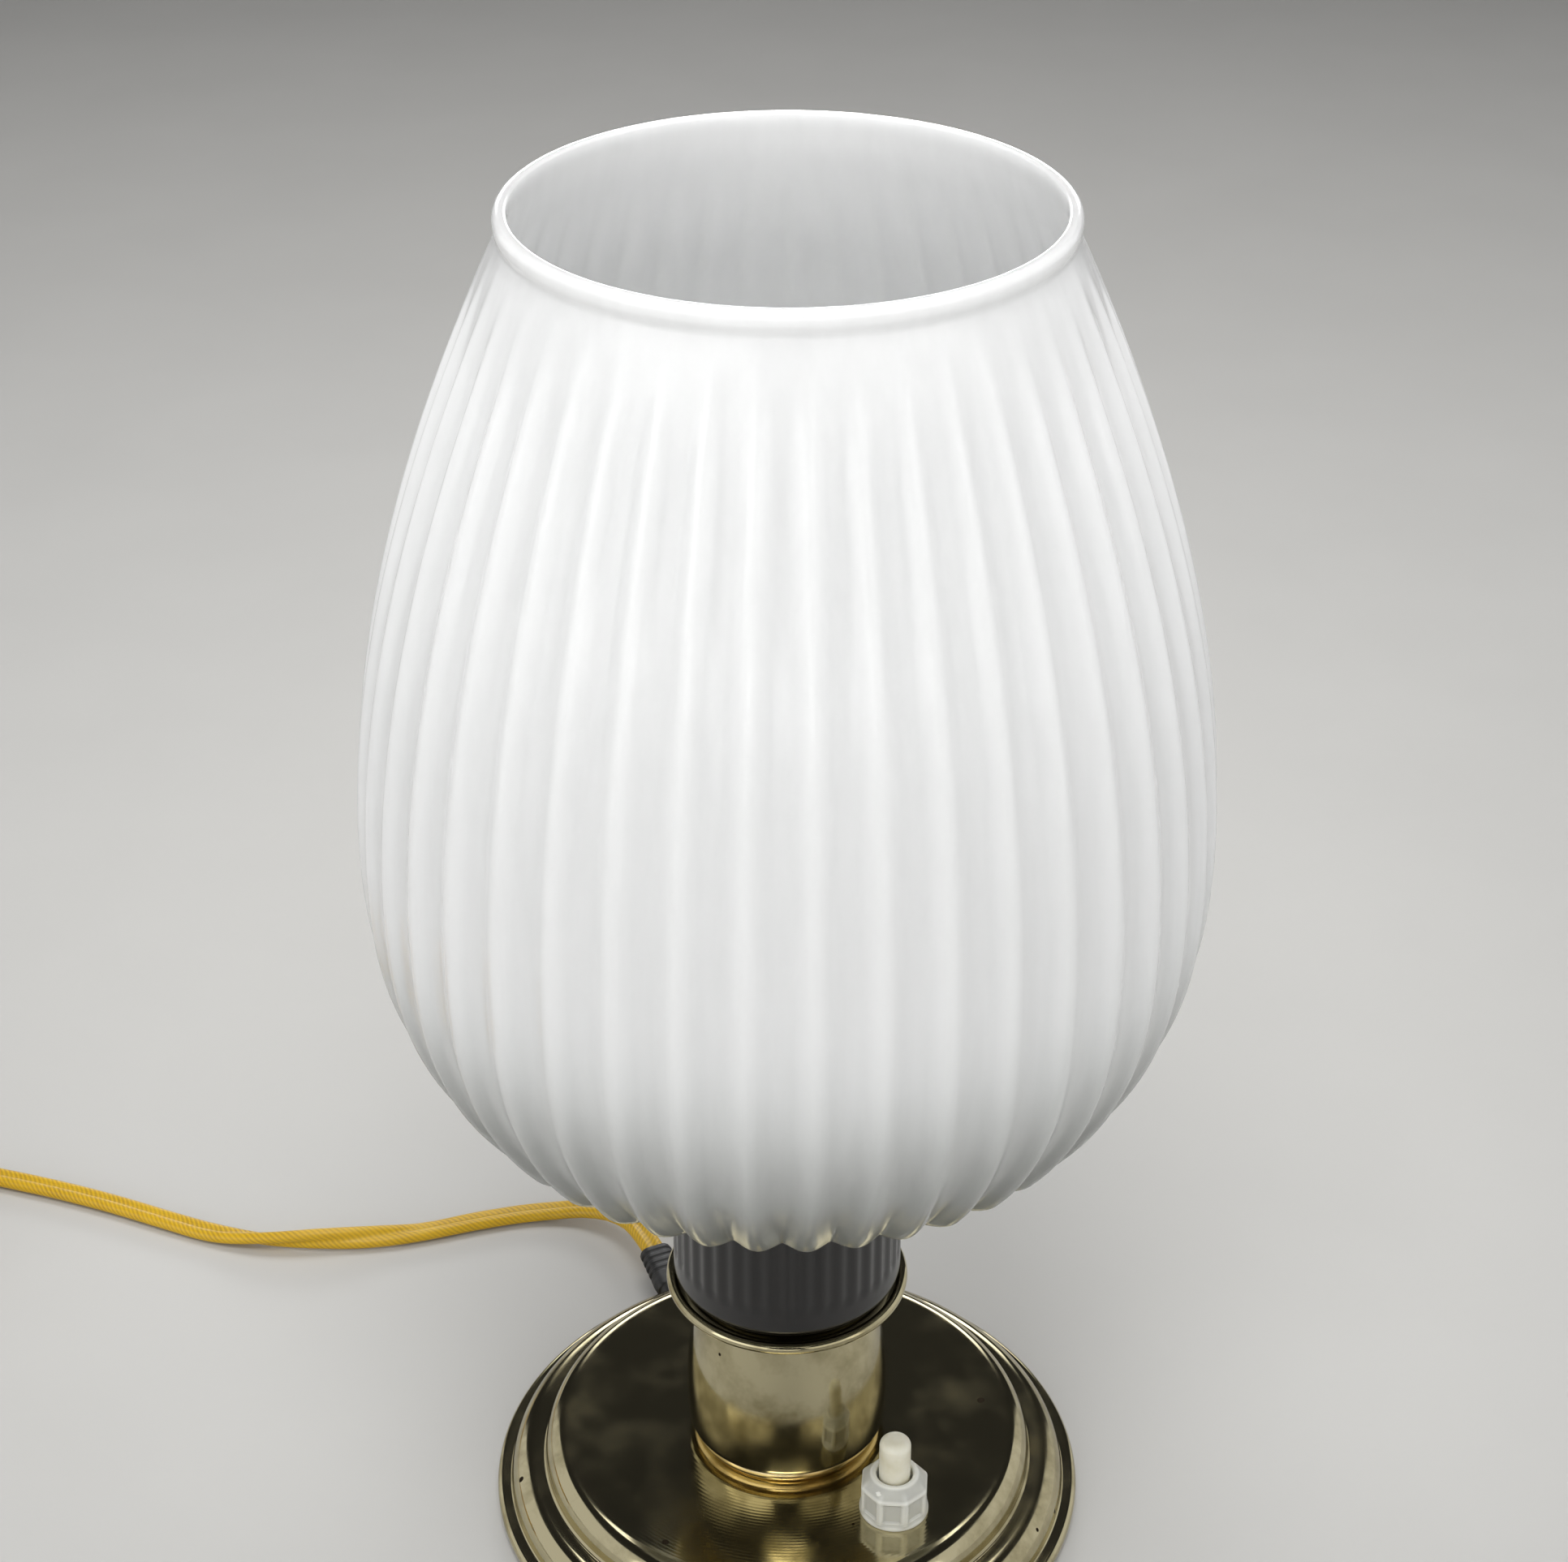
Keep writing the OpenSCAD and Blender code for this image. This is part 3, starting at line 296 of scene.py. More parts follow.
def spun_plate(props, name, clean, stain, rough=(0.1, 0.26)):
    """Brass, spun over a former or turned, polished and plated."""
    # A mirror gloss drawn out by fine rings from the tool, cloudy where fingers dulled it, and a few
    # black pits where the plating broke. The rings are finer on the metal and are drawn coarser to show.
    material, tree, shader, place = new_material(name, {"Metallic": 1.0})
    dull = ramp(tree, noise(tree, place, 16, 5.0, 0.62), 0.46, 0.78)
    cells = add_node(tree, "TexVoronoi", None, {"Vector": place, "Scale": per_metre(7)}).outputs[0]
    pit = worked(tree, "LESS_THAN", cells, ranged(tree, noise(tree, place, 22, 3.0), 0.0, 0.2, (0.54, 0.8)))
    rings = add_node(tree, "TexWave", {"wave_type": "RINGS", "rings_direction": "Z"}, {
        "Vector": place, "Scale": TURN / (WAVE_RATE * props.spin_pitch), "Distortion": 1.5, "Detail": 2.0,
        "Detail Scale": 0.3}).outputs[1]
    connect(tree, shader, {
        "Base Color": blend_colours(tree, pit, blend_colours(tree, dull, clean, stain), to_linear("2A2113")),
        "Roughness": worked(tree, "MULTIPLY_ADD", pit, 0.5, ranged(tree, dull, *rough), clamp=True),
        "Normal": bump(tree, pit, 0.5, 0.1, invert=True, over=bump(tree, rings, 0.12, 0.03))})
    return material


def milky_plastic(name, colour, deep):
    """Natural polythene, injection moulded."""
    # Light goes a few millimetres in, so edges and ribs look paler than the panels, and this is painted into
    # the colour by curvature as painted light. The skin is waxy, with a soft sheen and faint flow marks.
    material, tree, shader, place = new_material(name, {
        "IOR": 1.51, "Subsurface Weight": 0.7, "Subsurface Radius": (1.0, 0.95, 0.85), "Subsurface Scale": 0.0015})
    flow = noise(tree, place, 5, 4.0)
    body = blend_colours(tree, ramp(tree, flow, 0.35, 0.75), colour, to_linear(deep))
    curve = add_node(tree, "NewGeometry").outputs["Pointiness"]
    connect(tree, shader, {
        # Painted light: edges and ribs are lightened by their curvature
        "Base Color": blend_colours(tree, ranged(tree, curve, 0.0, 0.9, (0.5, 0.56)), body, to_linear("F6F6EE")),
        "Roughness": ranged(tree, flow, 0.3, 0.46, NOISE_SPAN),
        "Normal": bump(tree, noise(tree, place, 0.7), 0.2, 0.04)})
    return material


def golden_cord(props):
    """Golden see-through PVC, extruded over two stranded cores."""
    # The sheath glows yellow, and the twisted strands under it show as slanting lines that follow each core.
    # The strands are about 0.2 mm wide and are drawn coarser to show.
    material, tree, shader, _ = new_material("Golden_PVC_cord_extruded", {
        "IOR": 1.53, "Roughness": 0.42, "Subsurface Weight": 0.25, "Subsurface Radius": (1.0, 0.7, 0.1),
        "Subsurface Scale": 0.0012})
    along = add_node(tree, "UVMap", {"uv_map": "cord"}).outputs[0]
    strands = add_node(tree, "TexWave", {"wave_type": "BANDS", "bands_direction": "DIAGONAL"}, {
        "Vector": along, "Scale": 0.5, "Distortion": 0.6, "Detail": 1.0}).outputs[1]
    cloud = add_node(tree, "TexNoise", None, {"Vector": along, "Scale": 0.12, "Detail": 3.0}).outputs[0]
    streaks = worked(tree, "MULTIPLY", strands, cloud)
    connect(tree, shader, {
        "Base Color": blend_colours(tree, streaks, tuple(props.gold), tuple(props.shade)),
        "Normal": bump(tree, strands, 0.15, 0.05)})
    return material


def frosted_bulb():
    """Soda-lime glass, etched inside."""
    # A smooth clear skin over a white frosted inner face: soft white with a sharp small highlight.
    material, tree, shader, place = new_material("Bulb_glass_etched_inside", {
        "IOR": 1.5, "Subsurface Weight": 0.6, "Subsurface Radius": (1.0, 1.0, 1.0), "Subsurface Scale": 0.004,
        "Coat Weight": 0.6, "Coat Roughness": 0.04, "Roughness": 0.4})
    frost = noise(tree, place, 3, 4.0)
    connect(tree, shader, {"Base Color": blend_colours(tree, frost, to_linear("F4F3EE"), to_linear("E2E3E0"))})
    return material


EVEN, METAL, RESIN = (1, 1, 1), {"Metallic": 1.0}, {"IOR": 1.53}
# Finishes of the plainer pieces, by what they are, as grained takes them
FINISHES = {
    # Sand-cast iron: dark, matt and pebbly from the sand
    "iron": ("Cast_iron_as_cast", "1F1F21", "3B3A3A", 1.2, (0.55, 0.8), 0.15, EVEN, {"Metallic": 0.7}),
    # Pressed wood pulp: brown and fibrous, with no gloss
    "board": ("Fibreboard_pressed", "5E4B36", "80694C", 1.5, (0.75, 0.9), 0.08, (1, 0.4, 1), {}),
    # Needled wool felt: matt green with loose fibres on the skin
    "felt": ("Wool_felt_needled", "17382A", "2F6147", 0.7, (0.9, 1.0), 0.25, (1, 0.35, 1), {
        "Sheen Weight": 0.4, "Sheen Roughness": 0.5}),
    # Zinc-plated steel: cool grey, cloudy from the bath
    "steel": ("Steel_zinc_plated", "8A8D93", "C2C4C6", 2.0, (0.25, 0.42), 0.01, EVEN, METAL),
    # Stamped brass strip: warm yellow with rolling marks along it
    "contact": ("Brass_strip_stamped", "A98440", "D9B468", 1.5, (0.22, 0.38), 0.01, (1, 1, 0.2), METAL),
    # Glazed porcelain: off-white under a thick clear glaze
    "porcelain": ("Porcelain_glazed", "DDD8CA", "EFEBDF", 3.0, (0.1, 0.2), 0.03, EVEN, {"IOR": 1.5}),
    # Moulded rubber: pale and dusty with a dull skin
    "gasket": ("Rubber_moulded", "B5AF9E", "CFC9B8", 0.8, (0.7, 0.85), 0.05, EVEN, {"IOR": 1.52}),
    # Phenolic resin, hot pressed: deep black-brown gloss with a faint mottle
    "phenolic": ("Phenolic_resin_pressed", "070606", "14100E", 2.5, (0.16, 0.26), 0.02, EVEN, {"IOR": 1.6}),
    # Drawn aluminium: pale grey with fine draw lines
    "aluminium": ("Aluminium_drawn", "B3B4B7", "D6D7D8", 1.0, (0.25, 0.4), 0.01, (1, 1, 0.15), METAL),
    # Vitrite, the black glass fused into the bulb's cap: glossy with small bubbles
    "vitrite": ("Black_glass_fused", "120D12", "2A2229", 0.8, (0.08, 0.2), 0.03, EVEN, {"IOR": 1.55}),
    # PVC insulation, extruded: even colour with a satin skin
    "brown": ("PVC_lead_brown_extruded", "5C3B22", "74492B", 1.2, (0.35, 0.5), 0.02, EVEN, RESIN),
    "blue": ("PVC_lead_blue_extruded", "31508F", "4468AE", 1.2, (0.35, 0.5), 0.02, EVEN, RESIN),
    # Soft PVC, moulded: black and dull, with a dusty skin
    "pvc": ("PVC_bush_moulded", "0C0C0C", "1B1A19", 0.9, (0.4, 0.6), 0.03, EVEN, RESIN),
    # Nylon, moulded: black with a grained satin skin
    "nylon": ("Nylon_tie_moulded", "121213", "242426", 0.6, (0.4, 0.55), 0.03, EVEN, RESIN),
    # Nickel-plated brass: bright, a little warm, with fine handling scratches
    "nickel": ("Nickel_plated_pin_turned", "A9A69F", "D3D0C8", 1.4, (0.14, 0.28), 0.005, EVEN, METAL),
}
LOOKS = {}


def finish_of(name):
    """A plainer piece's finish, made the first time."""
    if name not in LOOKS:
        LOOKS[name] = grained(*FINISHES[name])
    return LOOKS[name]


def smooth_step(t):
    """Smooth rise from 0 to 1."""
    t = min(1.0, max(0.0, t))
    return t * t * (3 - 2 * t)


def window(z, low, high, fade):
    """1 between two heights, with a smooth fade to 0 at both."""
    return smooth_step((z - low) / fade) * smooth_step((high - z) / fade)


def wave(turns):
    """Smooth wave from 0 up to 1 and back in each turn."""
    return 0.5 - 0.5 * math.cos(TURN * turns)


def mix(a, b, t):
    """Place between a and b."""
    return a + (b - a) * t


def arc(centre, radius, start, end, steps=16):
    """Points of an arc between two angles in degrees."""
    angles = [math.radians(mix(start, end, k / steps)) for k in range(steps + 1)]
    return [(centre[0] + radius * math.cos(a), centre[1] + radius * math.sin(a)) for a in angles]


def spot(centre, r, angle, z):
    """Point at a radius and angle round an upright axis."""
    return centre[0] + r * math.cos(angle), centre[1] + r * math.sin(angle), z


def heading(degrees):
    """A level direction and the one on its left."""
    way = Vector(spot((0, 0), 1, math.radians(degrees), 0))
    return way, Vector((-way.y, way.x, 0))


def course(path, i):
    """Direction of a closed outline at one of its points."""
    back, ahead = path[i - 1], path[(i + 1) % len(path)]
    return Vector((ahead[0] - back[0], ahead[1] - back[1])).normalized()


def bezier(a, b, c, t):
    """Point of a curve that leaves a towards b and comes to c from b."""
    return tuple((1 - t) ** 2 * p + 2 * t * (1 - t) * q + t * t * s for p, q, s in zip(a, b, c))


def rounded(corners, steps=8):
    """Outline through corners (r, z, radius), each turned into an arc of its radius."""
    points = []
    for i, (r, z, radius) in enumerate(corners):
        here = Vector((r, z))
        if radius == 0:
            points.append((r, z))
            continue
        back = (Vector(corners[i - 1][:2]) - here).normalized()
        ahead = (Vector(corners[(i + 1) % len(corners)][:2]) - here).normalized()
        half = back.angle(ahead) / 2
        centre = here + (back + ahead).normalized() * (radius / math.sin(half))
        start = here + back * (radius / math.tan(half)) - centre
        end = here + ahead * (radius / math.tan(half)) - centre
        first = math.atan2(start.y, start.x)
        turn = (math.atan2(end.y, end.x) - first + math.pi) % TURN - math.pi
        points += arc(centre, radius, math.degrees(first), math.degrees(first + turn), steps)
    return points


def dense(outline, step=1.2, closed=True):
    """The outline with its long sides cut up, so a rounded edge doesn't shade the flat beside it."""
    points = []
    ends = outline[1:] + outline[:1] if closed else outline[1:]
    for a, b in zip(outline, ends):
        parts = max(1, math.ceil(math.dist(a, b) / step))
        points += [(mix(a[0], b[0], k / parts), mix(a[1], b[1], k / parts)) for k in range(parts)]
    return points if closed else points + [outline[-1]]


def turned(outline, count=ROUND, radius_at=None, centre=(0, 0)):
    """Rings of a form turned about an upright axis from rows of r and z; radius_at(angle, *row) may shape it."""
    angles = [TURN * k / count for k in range(count)]
    return [[spot(centre, radius_at(a, *row) if radius_at else row[0], a, row[1]) for a in angles] for row in outline]


def loft(rings, loop=True, uv=None):
    """Mesh through rings of points in mm. A loop joins the last ring to the first; else the ends are capped."""
    mesh = bmesh.new()
    rows = [[mesh.verts.new(Vector(p) * MM) for p in ring] for ring in rings]
    layer = mesh.loops.layers.uv.new(uv[0]) if uv else None
    for i in range(len(rows) if loop else len(rows) - 1):
        low, high = rows[i], rows[(i + 1) % len(rows)]
        count = len(low)
        for k in range(count):
            nxt = (k + 1) % count
            face = mesh.faces.new((low[k], low[nxt], high[nxt], high[k]))
            if uv:
                cells = ((i, k), (i, k + 1), (i + 1, k + 1), (i + 1, k))
                for corner, cell in zip(face.loops, cells):
                    corner[layer].uv = uv[1](*cell)
    if not loop:
        mesh.faces.new(rows[0])
        mesh.faces.new(rows[-1])
    bmesh.ops.remove_doubles(mesh, verts=mesh.verts, dist=1e-7)
    bmesh.ops.recalc_face_normals(mesh, faces=mesh.faces)
    return mesh


def new_object(name, data):
    """Object of some data, put in the scene."""
    item = bpy.data.objects.new(name, data)
    bpy.context.scene.collection.objects.link(item)
    return item


def solid(name, mesh, material):
    """Object of a mesh in one material."""
    data = bpy.data.meshes.new(name)
    mesh.to_mesh(data)
    mesh.free()
    data.materials.append(material)
    return new_object(name, data)


def make_piece(name, mesh, material, nodes=(), body=LAMP, crease=40):
    """Smooth object of a mesh that rides on a body and stands for CAD nodes; a crease is in degrees."""
    piece = solid(name, mesh, material)
    piece.data.shade_smooth()
    piece.data.set_sharp_from_angle(angle=math.radians(crease))
    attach(piece, body)
    if nodes:
        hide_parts(*nodes)
    return piece


def dress(material, *nodes):
    """Gives CAD nodes that stay their material."""
    for node in nodes:
        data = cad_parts[node]
        for holder in data.material_slots:
            holder.material = material


def softbox(name, place, aim, size, watts, spread=180, turn=1):
    """An area light that looks at a point, or with turn -1 away from it; a grid may narrow its spread,
    in degrees."""
    data = bpy.data.lights.new(name, "AREA")
    data.shape = "RECTANGLE"
    data.size, data.size_y = size
    data.energy = watts
    data.spread = math.radians(spread)
    light = new_object(name, data)
    light.location = place
    light.rotation_euler = (turn * (Vector(aim) - Vector(place))).to_track_quat("-Z", "Y").to_euler()


# Stage: the camera as fitted to the photograph, in metres and degrees, and a floor just under the felt
CAMERA_AT, CAMERA_PITCH, SENSOR = (-0.0006, -0.454, 0.43875), 30.807, 36.0
FLOOR_HALF, FLOOR_Z, FLOOR_SHADE = 4.0, -0.0002, 0.94
SHADE_AIM, BOX_SIZE, PANEL_SIZE, PANEL_X = (0, 0, 0.18), (1.2, 0.9), (1.6, 0.9), 0.85


class LAMP_OT_stage(bpy.types.Operator):
    """Camera, pale floor and soft light"""
    bl_idname = "lamp.stage"
    bl_label = "Stage"

    def execute(self, context):
        props = context.scene.lamp_stage
        data = bpy.data.cameras.new("photo_camera")
        data.sensor_fit = "HORIZONTAL"
        data.sensor_width = SENSOR
        data.lens = props.lens
        camera = new_object("photo_camera", data)
        camera.location = CAMERA_AT
        camera.rotation_euler = (math.radians(90 - CAMERA_PITCH), 0, 0)
        context.scene.camera = camera

        # Painted board: pale and matt, with faint clouds from the roller
        material, tree, shader, place = new_material("Floor_board_painted", {"Roughness": 0.75})
        shade = (*(FLOOR_SHADE * c for c in props.floor[:3]), 1.0)
        connect(tree, shader, {"Base Color": blend_colours(tree, noise(tree, place, 60), tuple(props.floor), shade)})
        mesh = bmesh.new()
        bmesh.ops.create_grid(mesh, x_segments=2, y_segments=2, size=FLOOR_HALF)
        floor = solid("floor", mesh, material)
        floor.location = (0, 0, FLOOR_Z)

        # The upright boxes glow on both faces, so the floor behind them isn't cut off dark
        for turn in (-1, 1):
            softbox("key_box", (-0.85, -0.95, 0.55), SHADE_AIM, BOX_SIZE, props.key_power, turn=turn)
            softbox("fill_box", (0.85, -0.95, 0.53), SHADE_AIM, BOX_SIZE, props.fill_power, turn=turn)
            for x in (-PANEL_X, PANEL_X):
                softbox("side_panel", (x, 0.2, 0.45), (0, 0.2, 0.45), PANEL_SIZE, props.side_power, turn=turn)
        softbox("top_box", (0.0, -0.32, 0.85), (0, 0.01, 0.26), (0.4, 0.4), props.top_power, 60)
        softbox("over_box", (0.0, 0.55, 1.2), (0, 0.55, 0), (0.9, 0.6), props.over_power, 110)
        softbox("back_panel", (0.0, 1.15, 0.45), (0, 0, 0.24), (1.0, 0.3), props.back_power, 50)
        softbox("front_strip", (-0.1, -1.3, 0.3), (0, 0, 0.02), (0.7, 0.16), props.strip_power)
        world = bpy.data.worlds.new("plain_room")
        world.use_nodes = True
        sky = world.node_tree.nodes["Background"].inputs
        sky["Color"].default_value = (1.0, 1.0, 1.0, 1.0)
        sky["Strength"].default_value = props.surround
        context.scene.world = world
        context.scene.view_settings.view_transform = "Standard"
        return {"FINISHED"}


# Route of the cord in mm, as the packed solids lie, with the turn of its flat side in degrees at each point
CORD_OUT, CORD_SIDE = heading(115)
NOSE_Z = 5.7
BUSH_END = 71.0
LEAD_OUT = 76.2
ROUTE_STEP = 3.0
CORD_EASE = 0.12  # The sheath is drawn this much narrower than its nominal width
CORD_GIRTH = 13.0  # Way round the sheath, for its pattern
CORD_ROUTE = [
    (-35.5, 75, 5.2, 0), (-40.5, 79.8, 4.2, 0), (-47, 82.6, 3, 0), (-54, 83.2, 2, 0), (-62, 82.4, 1.6, 0),
    (-72, 79.8, 1.6, 0), (-84, 76, 1.6, 0), (-96, 73.2, 2.4, 45), (-108, 72, 2.9, 90), (-120, 72.6, 2.4, 135),
    (-132, 75.6, 1.6, 180), (-144, 80.4, 1.6, 180), (-156, 85.6, 1.6, 180), (-168, 90.2, 1.6, 180),
    (-180, 94.2, 1.6, 180), (-192, 97.8, 1.6, 180), (-204, 101, 1.9, 200), (-216, 103.2, 2.7, 235),
    (-226, 104, 3.5, 260),
]
COIL_AT = Vector((-236, 65, 0))
COIL_OUT, COIL_IN, COIL_PITCH = 39.0, 19.8, 4.8
COIL_TURNS, COIL_CLIMB, COIL_TOTAL, COIL_STEPS = 4.0, 0.5, 8.25, 24
COIL_Z, COIL_LAYER, COIL_ROLL = 3.7, 5.7, 270
TAIL_ROUTE = [(-274.2, 61, 9.4, 270), (-276.3, 53, 9.2, 255), (-279, 45, 8.2, 225), (-281, 37, 7.1, 190)]
PLUG_DIR, PLUG_SIDE = heading(-105)
PLUG_GAP = 8
PLUG_AT = Vector(TAIL_ROUTE[-1][:3]) + PLUG_GAP * PLUG_DIR


def coil_points():
    """Points of the coil: loops wound in on the table, then out again on top of them."""
    points = []
    for i in range(int(COIL_TOTAL * COIL_STEPS) + 1):
        t = i / COIL_STEPS
        climb = smooth_step((t - COIL_TURNS - COIL_CLIMB / 3) / (COIL_CLIMB / 3))
        if t < COIL_TURNS:
            r = COIL_OUT - COIL_PITCH * t
        else:
            r = COIL_IN + COIL_PITCH * max(0.0, t - COIL_TURNS - COIL_CLIMB)
        a = math.radians(90 + 360 * t)
        points.append((*spot(COIL_AT, r, a, COIL_Z + COIL_LAYER * climb), COIL_ROLL))
    return points


def smooth_route(points, step):
    """Points of one smooth curve through all the given ones, about a step apart."""
    points = [Vector(p) for p in points]
    route = []
    for i in range(len(points) - 1):
        a, b = points[i], points[i + 1]
        before = points[i - 1] if i else a + (a - b)
        after = points[i + 2] if i + 2 < len(points) else b + (b - a)
        parts = max(1, round((b - a).length / step))
        for k in range(parts):
            t = k / parts
            route.append(0.5 * (2 * a + (b - before) * t + (2 * before - 5 * a + 4 * b - after) * t * t
                                + (3 * a - before - 3 * b + after) * t * t * t))
    return route + [points[-1]]


def swept(route, section):
    """Rings of a section along a route of points with rolls; the section's x lies level at no roll."""
    rings = []
    for i, here in enumerate(route):
        way = (route[min(i + 1, len(route) - 1)] - route[max(i - 1, 0)]).to_3d().normalized()
        level = way.cross(UP).normalized()
        over = level.cross(way)
        roll = math.radians(here[3])
        wide = level * math.cos(roll) + over * math.sin(roll)
        thick = over * math.cos(roll) - level * math.sin(roll)
        rings.append([here.to_3d() + wide * x + thick * y for x, y in section])
    return rings


def twin_section(width, thickness):
    """Two round cores side by side, joined by a web that leaves a groove."""
    core = thickness / 2
    offset = width / 2 - core
    sweep, web = 118, 0.66 * core
    right = arc((offset, 0), core, -sweep, sweep, 12)
    left = arc((-offset, 0), core, 180 - sweep, 180 + sweep, 12)
    return [*right, (0, web), *left, (0, -web)]


def stadium(width, height, steps=8):
    """Flat shape with half-round ends."""
    half = height / 2
    end = max(0.0, width / 2 - half)
    return arc((end, 0), half, -90, 90, steps) + arc((-end, 0), half, 90, 270, steps)


def squared(width, height, exponent, count=48):
    """Rectangle with well-rounded corners."""
    points = []
    for k in range(count):
        c, s = math.cos(TURN * k / count), math.sin(TURN * k / count)
        points.append((math.copysign(abs(c) ** (2 / exponent), c) * width / 2,
                       math.copysign(abs(s) ** (2 / exponent), s) * height / 2))
    return points


def stations(origin, way, side, sections):
    """Rings of flat sections set across a straight way, each with its distance along it."""
    return [[origin + way * at + side * x + UP * y for x, y in section] for at, section in sections]


def between(stops, at):
    """Value at a place, on straight lines between (place, value) stops."""
    for (a, low), (b, high) in zip(stops, stops[1:]):
        if at <= b:
            return mix(low, high, (at - a) / (b - a))
    return stops[-1][1]


class LAMP_OT_cord(bpy.types.Operator):
    """Golden flat twin cord with its bush, coil, tie and plug"""
    bl_idname = "lamp.cord"
    bl_label = "Cord and plug"

    def execute(self, context):
        props = context.scene.lamp_cord
        milk = context.scene.lamp_switch.milk
        start = CORD_OUT * BUSH_END + UP * NOSE_Z
        lead = CORD_OUT * LEAD_OUT + UP * NOSE_Z
        points = [(*start, 0), (*lead, 0), *CORD_ROUTE, *coil_points(), *TAIL_ROUTE, (*PLUG_AT, 180)]
        route = smooth_route(points, ROUTE_STEP)
        section = twin_section(props.width / MM - CORD_EASE, props.thickness / MM)
        along = [0.0]
        for a, b in zip(route, route[1:]):
            along.append(along[-1] + (b.to_3d() - a.to_3d()).length)
        girth = CORD_GIRTH / len(section)
        mesh = loft(swept(route, section), loop=False, uv=("cord", lambda i, k: (along[i], k * girth)))
        cord = make_piece("twin_cord", mesh, golden_cord(props), ("cord", "cord_coil"), crease=60)

        # Bush: a tail in the base, a shoulder outside it and a tapered nose with bend-relief grooves
        outside, grooves, groove_depth = BUSH_END - 13.4, (62.6, 64.7, 66.8, 68.9), 0.9
        nose_at, nose_length, step = 60.6, 10.4, 0.15
        sections = [(47, (7.4, 3.4)), (47.5, (8.4, 4.1)), (50, (8.4, 4.1)), (50.1, (9.9, 4.1)), (51, (9.9, 4.1)),
                    (51.1, (8.4, 4.1)), (outside - 0.1, (8.4, 4.1)), (outside, (8.8, 4.2)), (outside + 0.4, (9.6, 4.4)),
                    (outside + 2.6, (9.6, 4.4)), (outside + 3, (9.3, 4.3))]
        at = outside + 3.4
        while at < BUSH_END - 0.4:
            nearest = min(abs(at - g) for g in grooves)
            sink = groove_depth * (1 - smooth_step((nearest - 0.3) / 0.35))
            t = (at - nose_at) / nose_length
            sections.append((at, (mix(9.4, 7.2, t) - sink, mix(4.4, 3.8, t) - 0.5 * sink)))
            at += step
        sections += [(BUSH_END - 0.2, (6.9, 3.5)), (BUSH_END, (6.2, 3.1))]
        rings = stations(UP * NOSE_Z, CORD_OUT, CORD_SIDE, [(s, stadium(*size)) for s, size in sections])
        mesh = loft(rings, loop=False)
        make_piece("cord_bush_nose", mesh, finish_of("pvc"), ("cord_bush",), crease=50)

        # Plug: a flat two-pin body, drawn in towards the cord, with finger ribs on its cheeks
        widths = [(0, 9.6), (10, 16.6), (26, 34.6), (36, 34.6)]
        heights = [(0, 9.6), (26, 13.6), (36, 13.6)]
        sections = [(0, squared(6.4, 5.6, 3)), (0.5, squared(8.6, 8.4, 3))]
        rib_depth, rib_pitch, rib_from, rib_to = 0.5, 2.6, 8, 23.6
        at, step = 1.2, 0.32
        while at <= 34.8:
            rib = rib_depth * wave((at - rib_from) / rib_pitch) if rib_from <= at <= rib_to else 0.0
            wide = sum(between(widths, at + d) for d in (-2, 0, 2)) / 3
            sections.append((at, squared(wide - 2 * rib, between(heights, at) - rib, mix(3, 6, smooth_step(at / 24)))))
            at += step
        sections += [(35.4, squared(34.2, 13.2, 6)), (35.85, squared(33.4, 12.4, 6)), (36, squared(32.4, 11.4, 6))]
        rings = stations(PLUG_AT, PLUG_DIR, PLUG_SIDE, sections)
        moulded = milky_plastic("Polythene_plug_moulded", tuple(milk), "D3D2C8")
        plug = make_piece("plug_moulding", loft(rings, loop=False), moulded, ("plug_body",), crease=50)

        # Tie: a thin ribbed strap round the turns, with rounded corners
        outward, across = heading(300)
        inner, outer, bend, tooth, half_t, half_w = 17.75, 41.05, 1.5, 0.12, 0.4, 2.0
        low, top = half_t, reach("coil_tie")[2] - half_t
        path = dense(rounded([(inner, low, bend), (outer, low, bend), (outer, top, bend), (inner, top, bend)]), 0.5)
        rings = []
        for i, (r, z) in enumerate(path):
            way = course(path, i)
            face = half_t - tooth if i % 2 else half_t
            out = [(-half_t, 0.3 - half_w), (0.2 - half_t, -half_w), (half_t - 0.2, -half_w), (face, 0.5 - half_w),
                   (face, half_w - 0.5), (half_t - 0.2, half_w), (0.2 - half_t, half_w), (-half_t, half_w - 0.3)]
            rings.append([COIL_AT + outward * (r + way.y * n) + UP * (z - way.x * n) + across * s for n, s in out])
        tie = make_piece("coil_strap", loft(rings), finish_of("nylon"), ("coil_tie",), crease=30)

        dress(finish_of("nickel"), "plug_pins")
        return {"FINISHED"}


# The glass, in mm: two power curves meet at its widest place, a bead ends it above and it turns under below
GLASS_R, GLASS_WIDE_Z = SHADE_R + 0.05, GLASS_LOW + 66.0
RIM_R, RIM_T, RIM_H = 47.6, 2.4, 4.7
NECK_R, NECK_Z = RIM_R - 0.4, GLASS_TOP - RIM_H
CORNER_R, CORNER_Z = 60.8, GLASS_LOW + 15.0
CROWN_POWER, FOOT_POWER = 1.84, 2.54
FLAT_R, HOLE_R, CLAMP_Z = 26.0, 21.0, GLASS_LOW + 3.0
TURN_SLOPE = FOOT_POWER * (GLASS_R - CORNER_R) / (GLASS_WIDE_Z - CORNER_Z)
TURN_DROP = 5
TURN_AT = (CORNER_R - TURN_DROP * TURN_SLOPE, CORNER_Z - TURN_DROP)
RIB_PHASE = math.radians(273.3)
RIB_FADE = 24.0
RIB_SHARP, FOOT_SHARP, FOOT_ROUND = 1.9, 0.6, 16.0
RIB_STEPS = 12
FOOT_FADE = 34.0
INNER_RIBS = 0.4
RIM_OUT, RIM_IN = 1.4, 0.6
NECK_BEND = 8.0
CLAMP_R_MID = 23.5
